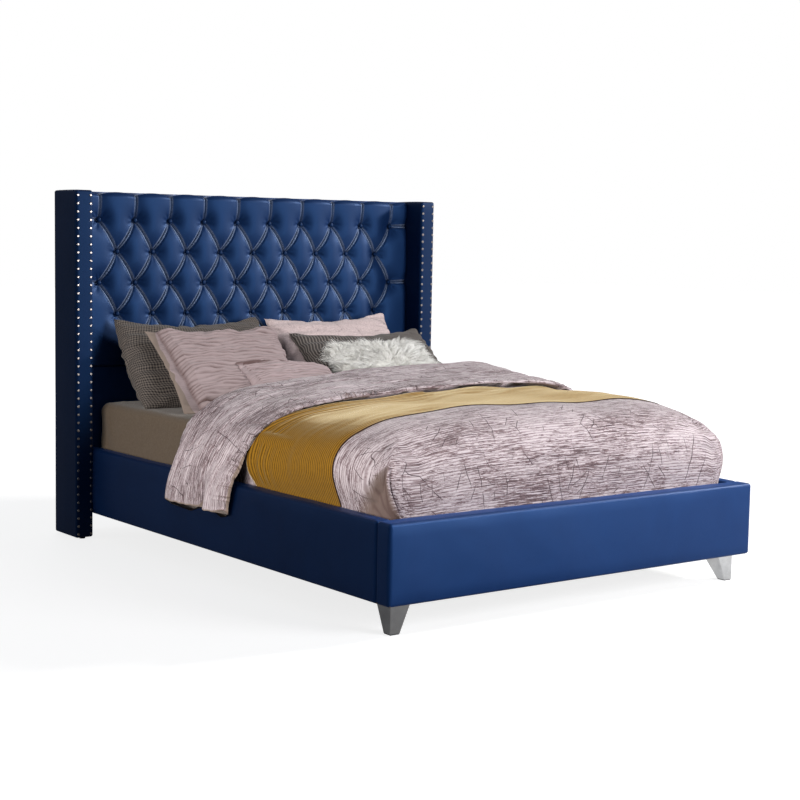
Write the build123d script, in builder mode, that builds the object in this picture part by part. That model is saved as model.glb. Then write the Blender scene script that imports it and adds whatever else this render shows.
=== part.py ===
from build123d import *
import math
import os

# Upholstered queen platform bed with wings, made up with its bedding.
# Millimetres, +Z up, +X to the right, +Y towards the headboard.
# The origin is on the floor, under the middle of the bed.

# Overall size
bed_height = 1422
wing_thickness = 76
wing_depth = 202
floor_to_rail = 102
rail_height = 265
rail_thickness = 60
footboard_thickness = 72

# Clearances and padding
soft_gap = 0.3
wood_gap = 0.3
cover_padding = 8
edge_radius = 6
top_radius = 9
overrun = 20

# Headboard layers, from the back
back_cloth = 2
stile_depth = 45
stile_width = 60
panel_thickness = 12
pad_depth = 41
lower_pad_depth = 30
pad_lip = 12
cross_rail_height = 60
bottom_rail_height = 180
pad_roll_radius = 26

# Buttoning of the headboard
button_end_inset = 89.2
row_pitch = 130
top_row_drop = 117
buttons_in_wide_row = 10
row_count = 5
seam_drop = 85
button_radius = 10
button_rise = 7
button_round_share = 0.7
tuft_depth = 28
pleat_half_width = 52
pleat_inner_width = 20
pleat_outer_depth = 7
pleat_depth = 25

# Nails along the front of each wing
nail_radius = 5.5
nail_rise = 2.8
nail_round_share = 0.8
nail_inset = 10
nail_pitch = 32.84
nail_end_inset = 21.36

# Bolts, brackets and glides
bolt_radius = 4
bolt_gap = 0.1
bolt_head_radius = 7
bolt_head_height = 4
bracket_bolt_length = 46
wing_bolt_length = 112
lower_bolt_shares = (0.5,)
upper_bolt_shares = (0.25, 0.75)
bracket_leg = 50
bracket_height = 92
bracket_thickness = 4
bracket_bolt_spacing = 50
glide_radius = 12
glide_height = 6
glide_end_inset = 24

# Corner blocks and front legs
block_size = 95
block_height = 45
leg_top = 80
leg_foot = 38
leg_side_inset = 42
leg_front_inset = 45
plate_size = 64
plate_thickness = 3
leg_bolt_length = 70
leg_bolt_hold = 30
leg_glide_size = 34
leg_glide_height = 3

# Slats, their ledges and the centre support
slat_top = 300
slat_thickness = 18
slat_width = 75
slat_count = 14
slat_edge = 4.5
slat_end_gap = 4
tape_width = 25
tape_thickness = 1.2
tape_offset = 350
tape_end_inset = 18
ledge_size = 30
beam_width = 45
beam_height = 60
hanger_thickness = 3
hanger_depth = 40
hanger_flange = 15
hanger_screw_length = 52
hanger_screw_radius = 2.5
hanger_screw_head = 5
centre_leg_radius = 22
centre_leg_spacing = 600
centre_leg_count = 3
centre_bolt_length = 60
foot_pad_radius = 20
foot_pad_height = 9
foot_pad_edge = 1.5
foot_stud_length = 45
foot_stud_gap = 0.08
foot_travel = 15

# Mattress and fitted sheet
mattress_length = 2032
mattress_width = 1524
mattress_height = 248
foot_tuck = 26
head_gap = 21
side_gap = 16
mattress_corner = 70
mattress_edge = 32
sheet_thickness = 1.5
sheet_hem = 4

# Duvet: its section rises above the sheet from hem to crown
duvet_foot_padding = 11
duvet_tuck_room = 6.5
duvet_hem_rise = 12
duvet_belly = 26
duvet_belly_height = 100
duvet_low_inset = 6
duvet_low_rise = 15
duvet_corner_inset = 70
duvet_corner_rise = 62
duvet_top_inset = 172
duvet_top_rise = 86
duvet_crown_rise = 125
duvet_right_rise = 8
duvet_fold_cover = 68
foot_roll = 235
foot_roll_shares = ((0, 0.28), (0.15, 0.62), (0.45, 0.86), (1, 1))

# Turned-back end of the duvet, which hangs over the left rail
fold_head_gap = 664.5
fold_length = 555
fold_thickness = 48
fold_right_rise = 22
hem_height = 235
hang_thickness = 22
hang_fold = 12
hang_top_rise = 20
fold_clear = 0.5
fold_shares = (
    (0.00, 1.00, 0.50, 0.1),
    (0.05, 1.00, 0.80, 0.9),
    (0.22, 1.00, 0.95, 0.1),
    (0.42, 1.00, 1.00, 1.0),
    (0.62, 1.00, 1.00, 0.1),
    (0.80, 1.00, 0.95, 0.8),
    (0.93, 0.88, 0.70, 0.2),
    (1.00, 0.50, 0.30, 0.1),
)

# Throw laid across the duvet
throw_start = 275
throw_gap = 0.4
throw_thickness = 2.6
throw_hem_rise = 22

# Pillows: seam outline, thickness each side of the seam, place of the lower seam and lean
pillow_station_shares = ((-0.5, 0.06), (-0.34, 0.78), (0, 1), (0.34, 0.78), (0.5, 0.06))
pillow_draw_in = 16
pillow_rest_drop = 8
rear_pillow_width = 690
rear_pillow_height = 478
rear_pillow_front = 72
rear_pillow_back = 40
middle_pillow_width = 650
middle_pillow_height = 470
middle_pillow_front = 72
middle_pillow_back = 38
front_pillow_width = 430
front_pillow_height = 285
front_pillow_front = 50
front_pillow_back = 28
striped_pillow_width = 700
striped_pillow_height = 440
fur_pillow_width = 560
fur_pillow_height = 335
fur_pillow_front = 58
rear_left_inset = 47
rear_right_inset = 55
middle_left_inset = 85
striped_inset = -2
front_left_inset = 405
fur_inset = 84
rear_base = 352
middle_base = 555
front_base = 648
striped_base = 505
fur_base = 640
rear_lean = 44
middle_lean = 51
front_lean = 55
striped_lean = 50
fur_lean = 50

# Planes and faces that several pieces share
headboard_depth = back_cloth + stile_depth + panel_thickness + lower_pad_depth
bed_length = footboard_thickness + foot_tuck + mattress_length + head_gap + headboard_depth
frame_width = mattress_width + 2 * (side_gap + rail_thickness)
half_frame = frame_width / 2
foot_face = -bed_length / 2
head_face = bed_length / 2
rail_top = floor_to_rail + rail_height
rail_inner = half_frame - rail_thickness
footboard_inner = foot_face + footboard_thickness
wing_outer = half_frame + wing_thickness
wing_front = head_face - wing_depth
frame_back = head_face - back_cloth
frame_front = frame_back - stile_depth
panel_front = frame_front - panel_thickness
pad_front = panel_front - pad_depth
lower_pad_front = panel_front - lower_pad_depth
frame_top = bed_height - pad_lip
button_pitch = (frame_width - 2 * button_end_inset) / (buttons_in_wide_row - 1)
tuft_seam_height = bed_height - top_row_drop - (row_count - 1) * row_pitch - seam_drop
bottom_rail_top = floor_to_rail + bottom_rail_height
middle_rail_bottom = tuft_seam_height - cross_rail_height / 2
middle_rail_top = middle_rail_bottom + cross_rail_height
top_rail_bottom = frame_top - cross_rail_height
nail_rows_height = bed_height - 2 * nail_end_inset
nails_in_row = round(nail_rows_height / nail_pitch) + 1
headboard_half = half_frame - soft_gap
rail_core_thickness = rail_thickness - 2 * cover_padding
slat_bottom = slat_top - slat_thickness
ledge_bottom = slat_bottom - ledge_size
beam_bottom = slat_bottom - beam_height
block_top = floor_to_rail + block_height
bracket_base = block_top + wood_gap
leg_centre_x = half_frame - leg_side_inset - leg_top / 2
leg_centre_y = foot_face + leg_front_inset + leg_top / 2
plate_bottom = floor_to_rail - plate_thickness
mattress_foot = footboard_inner + foot_tuck
mattress_head = mattress_foot + mattress_length
sheet_top = slat_top + mattress_height + soft_gap + sheet_thickness
duvet_side = rail_inner - duvet_tuck_room
duvet_foot = mattress_foot - sheet_thickness - duvet_foot_padding
duvet_hem = slat_top + duvet_hem_rise
fold_end = mattress_head - fold_head_gap
fold_foot = fold_end - fold_length
duvet_reach = fold_end - duvet_fold_cover - duvet_foot
rest_height = rail_top + soft_gap

UP = (Align.CENTER, Align.CENTER, Align.MIN)
SIDES = (("left", -1), ("right", 1))
ENDS = ((-1, footboard_inner), (1, lower_pad_front))


def keep(piece, name):
    piece.part.label = name
    export_step(piece.part, f"parts/{name}.step")


def block(x_range, y_range, z_range, mode=Mode.ADD):
    """A box between two values on each axis."""
    spans = (x_range, y_range, z_range)
    centre = tuple((low + high) / 2 for low, high in spans)
    size = tuple(abs(high - low) for low, high in spans)
    with Locations(centre):
        return Box(*size, mode=mode)


def drill(places, radius, reach):
    """Round holes from each place along its own Z."""
    with Locations(*places):
        Cylinder(radius, reach, align=UP, mode=Mode.SUBTRACT)


def bracket_bolt_places():
    """Bolt head seats on the four corner brackets, each pointing into the timber."""
    places = []
    middle = bracket_base + bracket_height / 2
    for side in (-1, 1):
        for end, face in ENDS:
            for step in (-1, 1):
                height = middle + step * bracket_bolt_spacing / 2
                along = face - end * (bracket_thickness + bracket_leg / 2)
                across = side * (rail_inner - bracket_thickness - bracket_leg / 2)
                rail_seat = (side * (rail_inner - bracket_thickness), along, height)
                end_seat = (across, face - end * bracket_thickness, height)
                places.append(Plane(origin=rail_seat, z_dir=(side, 0, 0)))
                places.append(Plane(origin=end_seat, z_dir=(0, end, 0)))
    return places


def wing_bolt_places():
    """Bolt head seats on the inner faces of the headboard stiles, clear of the cross rails."""
    depth = (frame_front + frame_back) / 2
    openings = (
        (bottom_rail_top, middle_rail_bottom, lower_bolt_shares),
        (middle_rail_top, top_rail_bottom, upper_bolt_shares),
    )
    heights = [low + share * (high - low) for low, high, shares in openings for share in shares]
    return [
        Plane(origin=(side * (headboard_half - stile_width), depth, height), z_dir=(side, 0, 0))
        for side in (-1, 1)
        for height in heights
    ]


def leg_places(height):
    """Points on the axes of the two front legs."""
    return [(side * leg_centre_x, leg_centre_y, height) for side in (-1, 1)]


def centre_leg_y():
    middle = (centre_leg_count - 1) / 2
    return [(number - middle) * centre_leg_spacing for number in range(centre_leg_count)]


def hanger_screw_places():
    """Screw head seats on the flanges of the two beam hangers."""
    offset = beam_width / 2 + hanger_thickness + 2 * hanger_screw_radius + wood_gap
    height = beam_bottom + beam_height / 2
    return [
        Plane(origin=(side * offset, face - end * hanger_thickness, height), z_dir=(0, end, 0))
        for side in (-1, 1)
        for end, face in ENDS
    ]


def bolts(places, length, radius, head_radius, head_height):
    """Round bolts: a shank along each place's Z and a head behind it."""
    with Locations(*places):
        Cylinder(radius, length, align=UP)
        Cylinder(head_radius, head_height, align=(Align.CENTER, Align.CENTER, Align.MAX))


# Footboard: timber core in a padded cover that is open beneath
def make_footboard():
    inset = cover_padding + soft_gap
    with BuildPart() as footboard_core:
        block(
            (-half_frame + inset, half_frame - inset),
            (foot_face + inset, footboard_inner - inset),
            (floor_to_rail, rail_top - inset),
        )
        drill(bracket_bolt_places(), bolt_radius + bolt_gap, bracket_bolt_length + bolt_gap)
        drill(hanger_screw_places(), hanger_screw_radius, hanger_screw_length)
    keep(footboard_core, "footboard_core")

    with BuildPart() as footboard_cover:
        block((-half_frame, half_frame), (foot_face, footboard_inner), (floor_to_rail, rail_top))
        fillet(footboard_cover.edges().filter_by(Axis.Z).sort_by(Axis.Y)[:2], edge_radius)
        fillet(footboard_cover.edges().group_by(Axis.Z)[-1], top_radius)
        block(
            (-half_frame + cover_padding, half_frame - cover_padding),
            (foot_face + cover_padding, footboard_inner - cover_padding),
            (floor_to_rail - overrun, rail_top - cover_padding),
            Mode.SUBTRACT,
        )
        drill(bracket_bolt_places(), bolt_radius + bolt_gap, bracket_bolt_length)
        drill(hanger_screw_places(), hanger_screw_radius + bolt_gap, hanger_screw_length)
    keep(footboard_cover, "footboard_cover")


# Side rails: timber core, padded cover and the ledge that carries the slats
def make_side_rails():
    foot_end = footboard_inner + soft_gap
    head_end = lower_pad_front - soft_gap
    for name, side in SIDES:
        middle = side * (half_frame - rail_thickness / 2)
        core_half = rail_core_thickness / 2 - soft_gap
        with BuildPart() as rail_core:
            block(
                (middle - core_half, middle + core_half),
                (foot_end, head_end),
                (floor_to_rail, rail_top - cover_padding - soft_gap),
            )
            drill(bracket_bolt_places(), bolt_radius + bolt_gap, bracket_bolt_length + bolt_gap)
        keep(rail_core, f"side_rail_core_{name}")

        with BuildPart() as rail_cover:
            block(
                (side * rail_inner, side * half_frame),
                (foot_end, head_end),
                (floor_to_rail, rail_top),
            )
            fillet(rail_cover.edges().group_by(Axis.Z)[-1].filter_by(Axis.Y), top_radius)
            block(
                (middle - rail_core_thickness / 2, middle + rail_core_thickness / 2),
                (foot_end - overrun, head_end + overrun),
                (floor_to_rail - overrun, rail_top - cover_padding),
                Mode.SUBTRACT,
            )
            drill(bracket_bolt_places(), bolt_radius + bolt_gap, bracket_bolt_length)
        keep(rail_cover, f"side_rail_cover_{name}")

        with BuildPart() as ledge:
            block(
                (side * (rail_inner - ledge_size), side * rail_inner),
                (foot_end + wood_gap, head_end - wood_gap),
                (ledge_bottom, slat_bottom),
            )
        keep(ledge, f"slat_ledge_{name}")


# Steel brackets in the four inner corners, with their bolts
def make_corner_brackets():
    with BuildPart() as corner_brackets:
        for side in (-1, 1):
            for end, face in ENDS:
                heights = (bracket_base, bracket_base + bracket_height)
                outer_x = side * rail_inner
                inner_x = outer_x - side * (bracket_leg + bracket_thickness)
                inner_y = face - end * (bracket_leg + bracket_thickness)
                block((inner_x, outer_x), (face - end * bracket_thickness, face), heights)
                block((outer_x - side * bracket_thickness, outer_x), (inner_y, face), heights)
        shift = bolt_head_height
        starts = [place.offset(-shift) for place in bracket_bolt_places()]
        drill(starts, bolt_radius + bolt_gap, shift + bracket_bolt_length)
    keep(corner_brackets, "corner_brackets")

    with BuildPart() as bracket_bolts:
        bolts(
            bracket_bolt_places(),
            bracket_bolt_length,
            bolt_radius,
            bolt_head_radius,
            bolt_head_height,
        )
    keep(bracket_bolts, "bracket_bolts")


# Timber blocks in the foot corners and the tapered chrome legs under them
def make_front_legs():
    for name, side in SIDES:
        with BuildPart() as corner_block:
            near_x = side * (rail_inner - wood_gap)
            near_y = footboard_inner + wood_gap
            block(
                (near_x - side * block_size, near_x),
                (near_y, near_y + block_size),
                (floor_to_rail, block_top),
            )
            drill(leg_places(floor_to_rail - leg_bolt_hold), bolt_radius + bolt_gap, leg_bolt_length)
        keep(corner_block, f"corner_block_{name}")

        with BuildPart() as leg:
            with BuildSketch(Plane.XY.offset(leg_glide_height)):
                with Locations((side * leg_foot_x(), leg_foot_y())):
                    RectangleRounded(leg_foot, leg_foot, edge_radius / 2)
            with BuildSketch(Plane.XY.offset(plate_bottom)):
                with Locations((side * leg_centre_x, leg_centre_y)):
                    RectangleRounded(leg_top, leg_top, edge_radius / 2)
            loft()
            drill(leg_places(floor_to_rail - leg_bolt_hold), bolt_radius + bolt_gap, leg_bolt_hold)
        keep(leg, f"front_leg_{name}")

    with BuildPart() as leg_plates:
        with Locations(*leg_places(plate_bottom)):
            Box(plate_size, plate_size, plate_thickness, align=UP)
        drill(leg_places(plate_bottom), bolt_radius + bolt_gap, plate_thickness)
    keep(leg_plates, "leg_plates")

    with BuildPart() as leg_bolts:
        with Locations(*leg_places(floor_to_rail - leg_bolt_hold)):
            Cylinder(bolt_radius, leg_bolt_length, align=UP)
    keep(leg_bolts, "leg_bolts")

    with BuildPart() as leg_glides:
        with Locations(*[(side * leg_foot_x(), leg_foot_y()) for side in (-1, 1)]):
            Box(leg_glide_size, leg_glide_size, leg_glide_height, align=UP)
    keep(leg_glides, "leg_glides")


def leg_foot_x():
    """The leg tapers towards its outer corner, whose edge is upright."""
    return half_frame - leg_side_inset - leg_foot / 2


def leg_foot_y():
    return foot_face + leg_front_inset + leg_foot / 2


# Slats across the bed, tied by two tapes under them
def make_slats():
    half = rail_inner - slat_end_gap
    first = footboard_inner + foot_tuck + slat_width / 2
    last = lower_pad_front - foot_tuck - slat_width / 2
    pitch = (last - first) / (slat_count - 1)
    with BuildPart() as slats:
        for number in range(slat_count):
            middle = first + number * pitch
            spread = (middle - slat_width / 2, middle + slat_width / 2)
            block((-half, half), spread, (slat_bottom, slat_top))
        fillet(slats.edges().filter_by(Axis.X), slat_edge)
    keep(slats, "slats")

    with BuildPart() as slat_tapes:
        for side in (-1, 1):
            across = (side * tape_offset - tape_width / 2, side * tape_offset + tape_width / 2)
            along = (first - tape_end_inset, last + tape_end_inset)
            block(across, along, (slat_bottom - tape_thickness, slat_bottom))
    keep(slat_tapes, "slat_tapes")


# Beam under the slats, hung between the ends and held up by three legs
def make_centre_support():
    start = footboard_inner + hanger_thickness + wood_gap
    stop = lower_pad_front - hanger_thickness - wood_gap
    half = beam_width / 2
    stations = centre_leg_y()
    bolt_start = beam_bottom - centre_bolt_length / 2
    bolt_places = [(0, y, bolt_start) for y in stations]

    with BuildPart() as centre_beam:
        block((-half, half), (start, stop), (beam_bottom, slat_bottom))
        drill(bolt_places, bolt_radius + bolt_gap, centre_bolt_length)
    keep(centre_beam, "centre_beam")

    seat_half = half + wood_gap + hanger_thickness
    flange_half = seat_half + hanger_flange
    seat_bottom = beam_bottom - wood_gap - hanger_thickness
    with BuildPart() as beam_hangers:
        for end, face in ENDS:
            tip = face - end * hanger_depth
            heights = (seat_bottom, slat_bottom - hanger_thickness)
            block((-seat_half, seat_half), (tip, face), heights)
            block((-flange_half, flange_half), (face - end * hanger_thickness, face), heights)
            block(
                (-half - wood_gap, half + wood_gap),
                (tip - end * overrun, face - end * hanger_thickness),
                (beam_bottom - wood_gap, slat_bottom + overrun),
                Mode.SUBTRACT,
            )
        starts = [place.offset(-hanger_screw_head) for place in hanger_screw_places()]
        drill(starts, hanger_screw_radius + bolt_gap, hanger_screw_length)
    keep(beam_hangers, "beam_hangers")

    with BuildPart() as hanger_screws:
        bolts(
            hanger_screw_places(),
            hanger_screw_length,
            hanger_screw_radius - bolt_gap,
            hanger_screw_head,
            hanger_screw_radius,
        )
    keep(hanger_screws, "hanger_screws")

    with BuildPart() as centre_leg_bolts:
        with Locations(*bolt_places):
            Cylinder(bolt_radius, centre_bolt_length, align=UP)
    keep(centre_leg_bolts, "centre_leg_bolts")

    for number, y in enumerate(stations, 1):
        with BuildPart() as centre_leg:
            with Locations((0, y, foot_pad_height)):
                Cylinder(centre_leg_radius, beam_bottom - foot_pad_height, align=UP)
            drill([(0, y, bolt_start)], bolt_radius + bolt_gap, centre_bolt_length)
            bore = foot_stud_length + foot_travel
            drill([(0, y, foot_pad_height)], bolt_radius + foot_stud_gap, bore)
        keep(centre_leg, f"centre_leg_{number}")

        with BuildPart() as levelling_foot:
            with Locations((0, y, 0)):
                Cylinder(foot_pad_radius, foot_pad_height, align=UP)
                Cylinder(bolt_radius, foot_pad_height + foot_stud_length, align=UP)
            fillet(levelling_foot.edges().group_by(Axis.Z)[0], foot_pad_edge)
        keep(levelling_foot, f"levelling_foot_{number}")


# Headboard frame of stiles and rails, faced with plywood and backed with cloth
def make_headboard_frame():
    depth = (frame_front, frame_back)
    inner = headboard_half - stile_width
    for name, side in SIDES:
        with BuildPart() as stile:
            block((side * inner, side * headboard_half), depth, (floor_to_rail, frame_top))
            drill(wing_bolt_places(), bolt_radius + bolt_gap, wing_bolt_length)
        keep(stile, f"headboard_stile_{name}")

    rails = (
        ("headboard_top_rail", (top_rail_bottom, frame_top)),
        ("headboard_middle_rail", (middle_rail_bottom, middle_rail_top)),
        ("headboard_bottom_rail", (floor_to_rail, bottom_rail_top)),
    )
    reach = bracket_bolt_length + bolt_gap
    for name, heights in rails:
        with BuildPart() as cross_rail:
            block((-inner, inner), depth, heights)
            drill(bracket_bolt_places(), bolt_radius + bolt_gap, reach)
            drill(hanger_screw_places(), hanger_screw_radius, hanger_screw_length)
        keep(cross_rail, name)

    with BuildPart() as headboard_panel:
        block(
            (-headboard_half, headboard_half),
            (panel_front, frame_front),
            (floor_to_rail, frame_top),
        )
        drill(bracket_bolt_places(), bolt_radius + bolt_gap, reach)
        drill(hanger_screw_places(), hanger_screw_radius, hanger_screw_length)
    keep(headboard_panel, "headboard_panel")

    with BuildPart() as back_cover:
        block(
            (-headboard_half, headboard_half),
            (frame_back, head_face),
            (floor_to_rail, bed_height - pad_lip / 2),
        )
    keep(back_cover, "headboard_back_cover")

    with BuildPart() as lower_pad:
        block(
            (-headboard_half, headboard_half),
            (lower_pad_front, panel_front),
            (floor_to_rail, tuft_seam_height - soft_gap),
        )
        drill(bracket_bolt_places(), bolt_radius + bolt_gap, reach)
        drill(hanger_screw_places(), hanger_screw_radius, hanger_screw_length)
    keep(lower_pad, "headboard_lower_pad")


def button_row(row):
    """Button places across one row; the last row leaves out its end buttons."""
    wide = row % 2 == 0
    count = buttons_in_wide_row if wide else buttons_in_wide_row - 1
    if row == row_count - 1:
        count = buttons_in_wide_row - 2
    start = -(count - 1) / 2
    return [(start + number) * button_pitch for number in range(count)]


def row_height(row):
    return bed_height - top_row_drop - row * row_pitch


def pleat_runs():
    """Diagonal pleats: each starts at a button and passes through those below it."""
    runs = []
    edge = button_row(0)[-1]
    tops = [(x, 0) for x in button_row(0)] + [(-edge, 2)]
    for x, row in tops:
        room = round(2 * (edge - x) / button_pitch)
        steps = min(row_count - 1 - row, room)
        if row:
            steps = row_count - 1 - row
        if steps > 0:
            runs.append((x, row, steps, 1))
            runs.append((-x, row, steps, -1))
    return runs


def pleat_profile():
    """Face square to a pleat: local X runs into the pad, down to the valley."""
    with BuildSketch() as profile:
        with BuildLine():
            Polyline(
                (-overrun, -pleat_half_width),
                (0, -pleat_half_width),
                (pleat_outer_depth, -pleat_inner_width),
                (pleat_depth, 0),
                (pleat_outer_depth, pleat_inner_width),
                (0, pleat_half_width),
                (-overrun, pleat_half_width),
                close=True,
            )
        make_face()
    return profile.sketch


def pleat_plane(x, height, direction):
    """Plane on the pad's front, square to a pleat that runs along the direction."""
    return Plane(origin=(x, pad_front, height), x_dir=(0, 1, 0), z_dir=direction)


# Buttoned pad: a padded slab with a lip over the top, pleated between its buttons
def make_tufted_pad():
    step = math.hypot(button_pitch / 2, row_pitch)
    bottom_row = row_height(row_count - 1)
    profile = pleat_profile()
    with BuildPart() as tufted_pad:
        block(
            (-headboard_half, headboard_half),
            (pad_front, panel_front),
            (tuft_seam_height, bed_height),
        )
        front = tufted_pad.faces().sort_by(Axis.Y)[0]
        fillet(front.edges().sort_by(Axis.Z)[-1], pad_roll_radius)
        block(
            (-headboard_half, headboard_half),
            (panel_front, frame_back),
            (frame_top + soft_gap, bed_height),
        )
        for steps in range(1, row_count):
            chosen = [run for run in pleat_runs() if run[2] == steps]
            for x, row, _, lean in chosen:
                direction = (lean * button_pitch / 2, 0, -row_pitch)
                with BuildSketch(pleat_plane(x, row_height(row), direction)):
                    add(profile)
            if chosen:
                extrude(amount=steps * step, mode=Mode.SUBTRACT)
        for x in button_row(0):
            with BuildSketch(pleat_plane(x, row_height(0), (0, 0, 1))):
                add(profile)
        extrude(amount=top_row_drop + overrun, mode=Mode.SUBTRACT)
        for x in button_row(row_count - 1):
            with BuildSketch(pleat_plane(x, bottom_row, (0, 0, -1))):
                add(profile)
        extrude(amount=bottom_row - tuft_seam_height + overrun, mode=Mode.SUBTRACT)
        drill(button_places(overrun), button_radius + soft_gap, tuft_depth + overrun)
    keep(tufted_pad, "headboard_tufted_pad")

    with BuildPart() as buttons:
        with BuildSketch(across_bed(button_seat())):
            for row in range(row_count):
                with Locations(*[(x, row_height(row)) for x in button_row(row)]):
                    Circle(button_radius)
        extrude(amount=button_rise)
        heads = buttons.faces().sort_by(Axis.Y)[: button_total()]
        fillet(heads.edges(), button_rise * button_round_share)
    keep(buttons, "headboard_buttons")


def button_seat():
    return pad_front + tuft_depth


def button_total():
    return sum(len(button_row(row)) for row in range(row_count))


def button_places(before):
    """Button axes, starting the given length in front of the pad."""
    return [
        Plane(origin=(x, pad_front - before, row_height(row)), z_dir=(0, 1, 0))
        for row in range(row_count)
        for x in button_row(row)
    ]


# Wings: timber core, padded cover, nails down the front edges and glides beneath
def make_wings():
    inset = cover_padding + soft_gap
    depth_centre = (wing_front + head_face) / 2
    for name, side in SIDES:
        inner = side * half_frame
        outer = side * wing_outer
        with BuildPart() as wing_core:
            block(
                (inner + side * inset, outer - side * inset),
                (wing_front + inset, head_face - inset),
                (glide_height, bed_height - inset),
            )
            drill(wing_bolt_places(), bolt_radius + bolt_gap, wing_bolt_length + bolt_gap)
        keep(wing_core, f"wing_core_{name}")

        with BuildPart() as wing_cover:
            block((inner, outer), (wing_front, head_face), (glide_height, bed_height))
            fillet(wing_cover.edges().filter_by(Axis.Z), edge_radius)
            fillet(wing_cover.edges().group_by(Axis.Z)[-1], edge_radius)
            block(
                (inner + side * cover_padding, outer - side * cover_padding),
                (wing_front + cover_padding, head_face - cover_padding),
                (glide_height - overrun, bed_height - cover_padding),
                Mode.SUBTRACT,
            )
            drill(wing_bolt_places(), bolt_radius + bolt_gap, wing_bolt_length)
        keep(wing_cover, f"wing_cover_{name}")

        middle = (inner + outer) / 2
        rows = wing_thickness - 2 * nail_inset
        step = nail_rows_height / (nails_in_row - 1)
        with BuildPart() as nails:
            with BuildSketch(across_bed(wing_front)):
                with Locations((middle, bed_height / 2)):
                    with GridLocations(rows, step, 2, nails_in_row):
                        Circle(nail_radius)
            extrude(amount=nail_rise)
            heads = nails.faces().sort_by(Axis.Y)[: 2 * nails_in_row]
            fillet(heads.edges(), nail_rise * nail_round_share)
        keep(nails, f"wing_nails_{name}")

    with BuildPart() as wing_glides:
        spread = wing_depth - 2 * glide_end_inset
        for side in (-1, 1):
            with Locations((side * (half_frame + wing_outer) / 2, depth_centre)):
                with GridLocations(0, spread, 1, 2):
                    Cylinder(glide_radius, glide_height, align=UP)
    keep(wing_glides, "wing_glides")

    with BuildPart() as wing_bolts:
        bolts(
            wing_bolt_places(),
            wing_bolt_length,
            bolt_radius,
            bolt_head_radius,
            bolt_head_height,
        )
    keep(wing_bolts, "wing_bolts")


def mattress_form(growth, base):
    """The mattress's own shape, swollen all round by growth."""
    middle = (mattress_foot + mattress_head) / 2
    height = slat_top + mattress_height + growth - base
    with BuildPart() as form:
        with BuildSketch(Plane.XY.offset(base)):
            with Locations((0, middle)):
                RectangleRounded(
                    mattress_width + 2 * growth,
                    mattress_length + 2 * growth,
                    mattress_corner + growth,
                )
        extrude(amount=height)
        fillet(form.edges().group_by(Axis.Z)[-1], mattress_edge + growth)
    return form.part


# Mattress, with the fitted sheet drawn over it
def make_mattress():
    with BuildPart() as mattress:
        add(mattress_form(0, slat_top))
    keep(mattress, "mattress")

    with BuildPart() as fitted_sheet:
        add(mattress_form(soft_gap + sheet_thickness, slat_top + sheet_hem))
        add(mattress_form(soft_gap, slat_top), mode=Mode.SUBTRACT)
    keep(fitted_sheet, "fitted_sheet")


def across_bed(y):
    """Upright plane across the bed: local X is X and local Y is Z."""
    return Plane.XZ.offset(-y)


def top_points(side, lift, growth, right_rise):
    """Shoulder, corner and top points of the duvet's section on one side, from low to high."""
    extra = right_rise if side > 0 else 0
    low = (side * (duvet_side - duvet_low_inset + growth), sheet_top + lift * duvet_low_rise + growth)
    corner = (
        side * (duvet_side - duvet_corner_inset + growth),
        sheet_top + lift * (duvet_corner_rise + extra) + growth,
    )
    top = (
        side * (duvet_side - duvet_top_inset + growth),
        sheet_top + lift * (duvet_top_rise + extra) + growth,
    )
    return low, corner, top


def over_the_top(lift, growth, right_rise):
    """Arcs from the left shoulder over the crown to the right shoulder."""
    low, corner, top = top_points(-1, lift, growth, right_rise)
    right_low, right_corner, right_top = top_points(1, lift, growth, right_rise)
    crown = (0, sheet_top + lift * duvet_crown_rise + growth)
    ThreePointArc(low, corner, top)
    ThreePointArc(top, crown, right_top)
    ThreePointArc(right_top, right_corner, right_low)
    return low, right_low


def side_arc(side, lift, growth, start, stop):
    """The bulging side of the duvet, between its tucked hem and its shoulder."""
    belly = (side * (duvet_side + lift * duvet_belly + growth), rail_top + duvet_belly_height)
    ThreePointArc(start, belly, stop)


def duvet_profile(lift, growth):
    """Cross-section of the duvet, filled down to its hem."""
    side = duvet_side + growth
    with BuildSketch() as profile:
        with BuildLine():
            low, right_low = over_the_top(lift, growth, duvet_right_rise)
            side_arc(-1, lift, growth, (-side, rail_top), low)
            side_arc(1, lift, growth, (side, rail_top), right_low)
            Polyline((-side, rail_top), (-side, duvet_hem), (side, duvet_hem), (side, rail_top))
        make_face()
    return profile.sketch


def duvet_form(growth):
    """The duvet as one filled shape, swollen all round by growth."""
    with BuildPart() as form:
        for along, lift in foot_roll_shares:
            with BuildSketch(across_bed(duvet_foot - growth + along * foot_roll)):
                add(duvet_profile(lift, growth))
        with BuildSketch(across_bed(duvet_foot + duvet_reach + growth)):
            add(duvet_profile(1, growth))
        loft(ruled=True)
    return form.part


# Duvet: a soft crown over the mattress, tucked inside the rails
def make_duvet():
    with BuildPart() as duvet:
        add(duvet_form(0))
        add(mattress_form(2 * soft_gap + sheet_thickness, slat_top), mode=Mode.SUBTRACT)
    keep(duvet, "duvet")


def fold_profile(lift, thick, wave):
    """Section of the turned-back end, with its hanging fold outside the left rail."""
    growth = fold_thickness * thick
    inside = half_frame + soft_gap
    outside = inside + hang_thickness + wave * hang_fold
    edge = (duvet_side + growth, rest_height)
    hook = (-outside, rail_top + hang_top_rise)
    with BuildSketch() as profile:
        with BuildLine():
            low, right_low = over_the_top(lift, growth, fold_right_rise)
            bulge = (low[0] / 2 + hook[0] / 2 - hang_fold, low[1] / 2 + hook[1] / 2)
            ThreePointArc(hook, bulge, low)
            side_arc(1, lift, growth / 2, edge, right_low)
            Polyline(hook, (-outside, hem_height), (-inside, hem_height), (-inside, rest_height), edge)
        make_face()
    return profile.sketch


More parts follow.
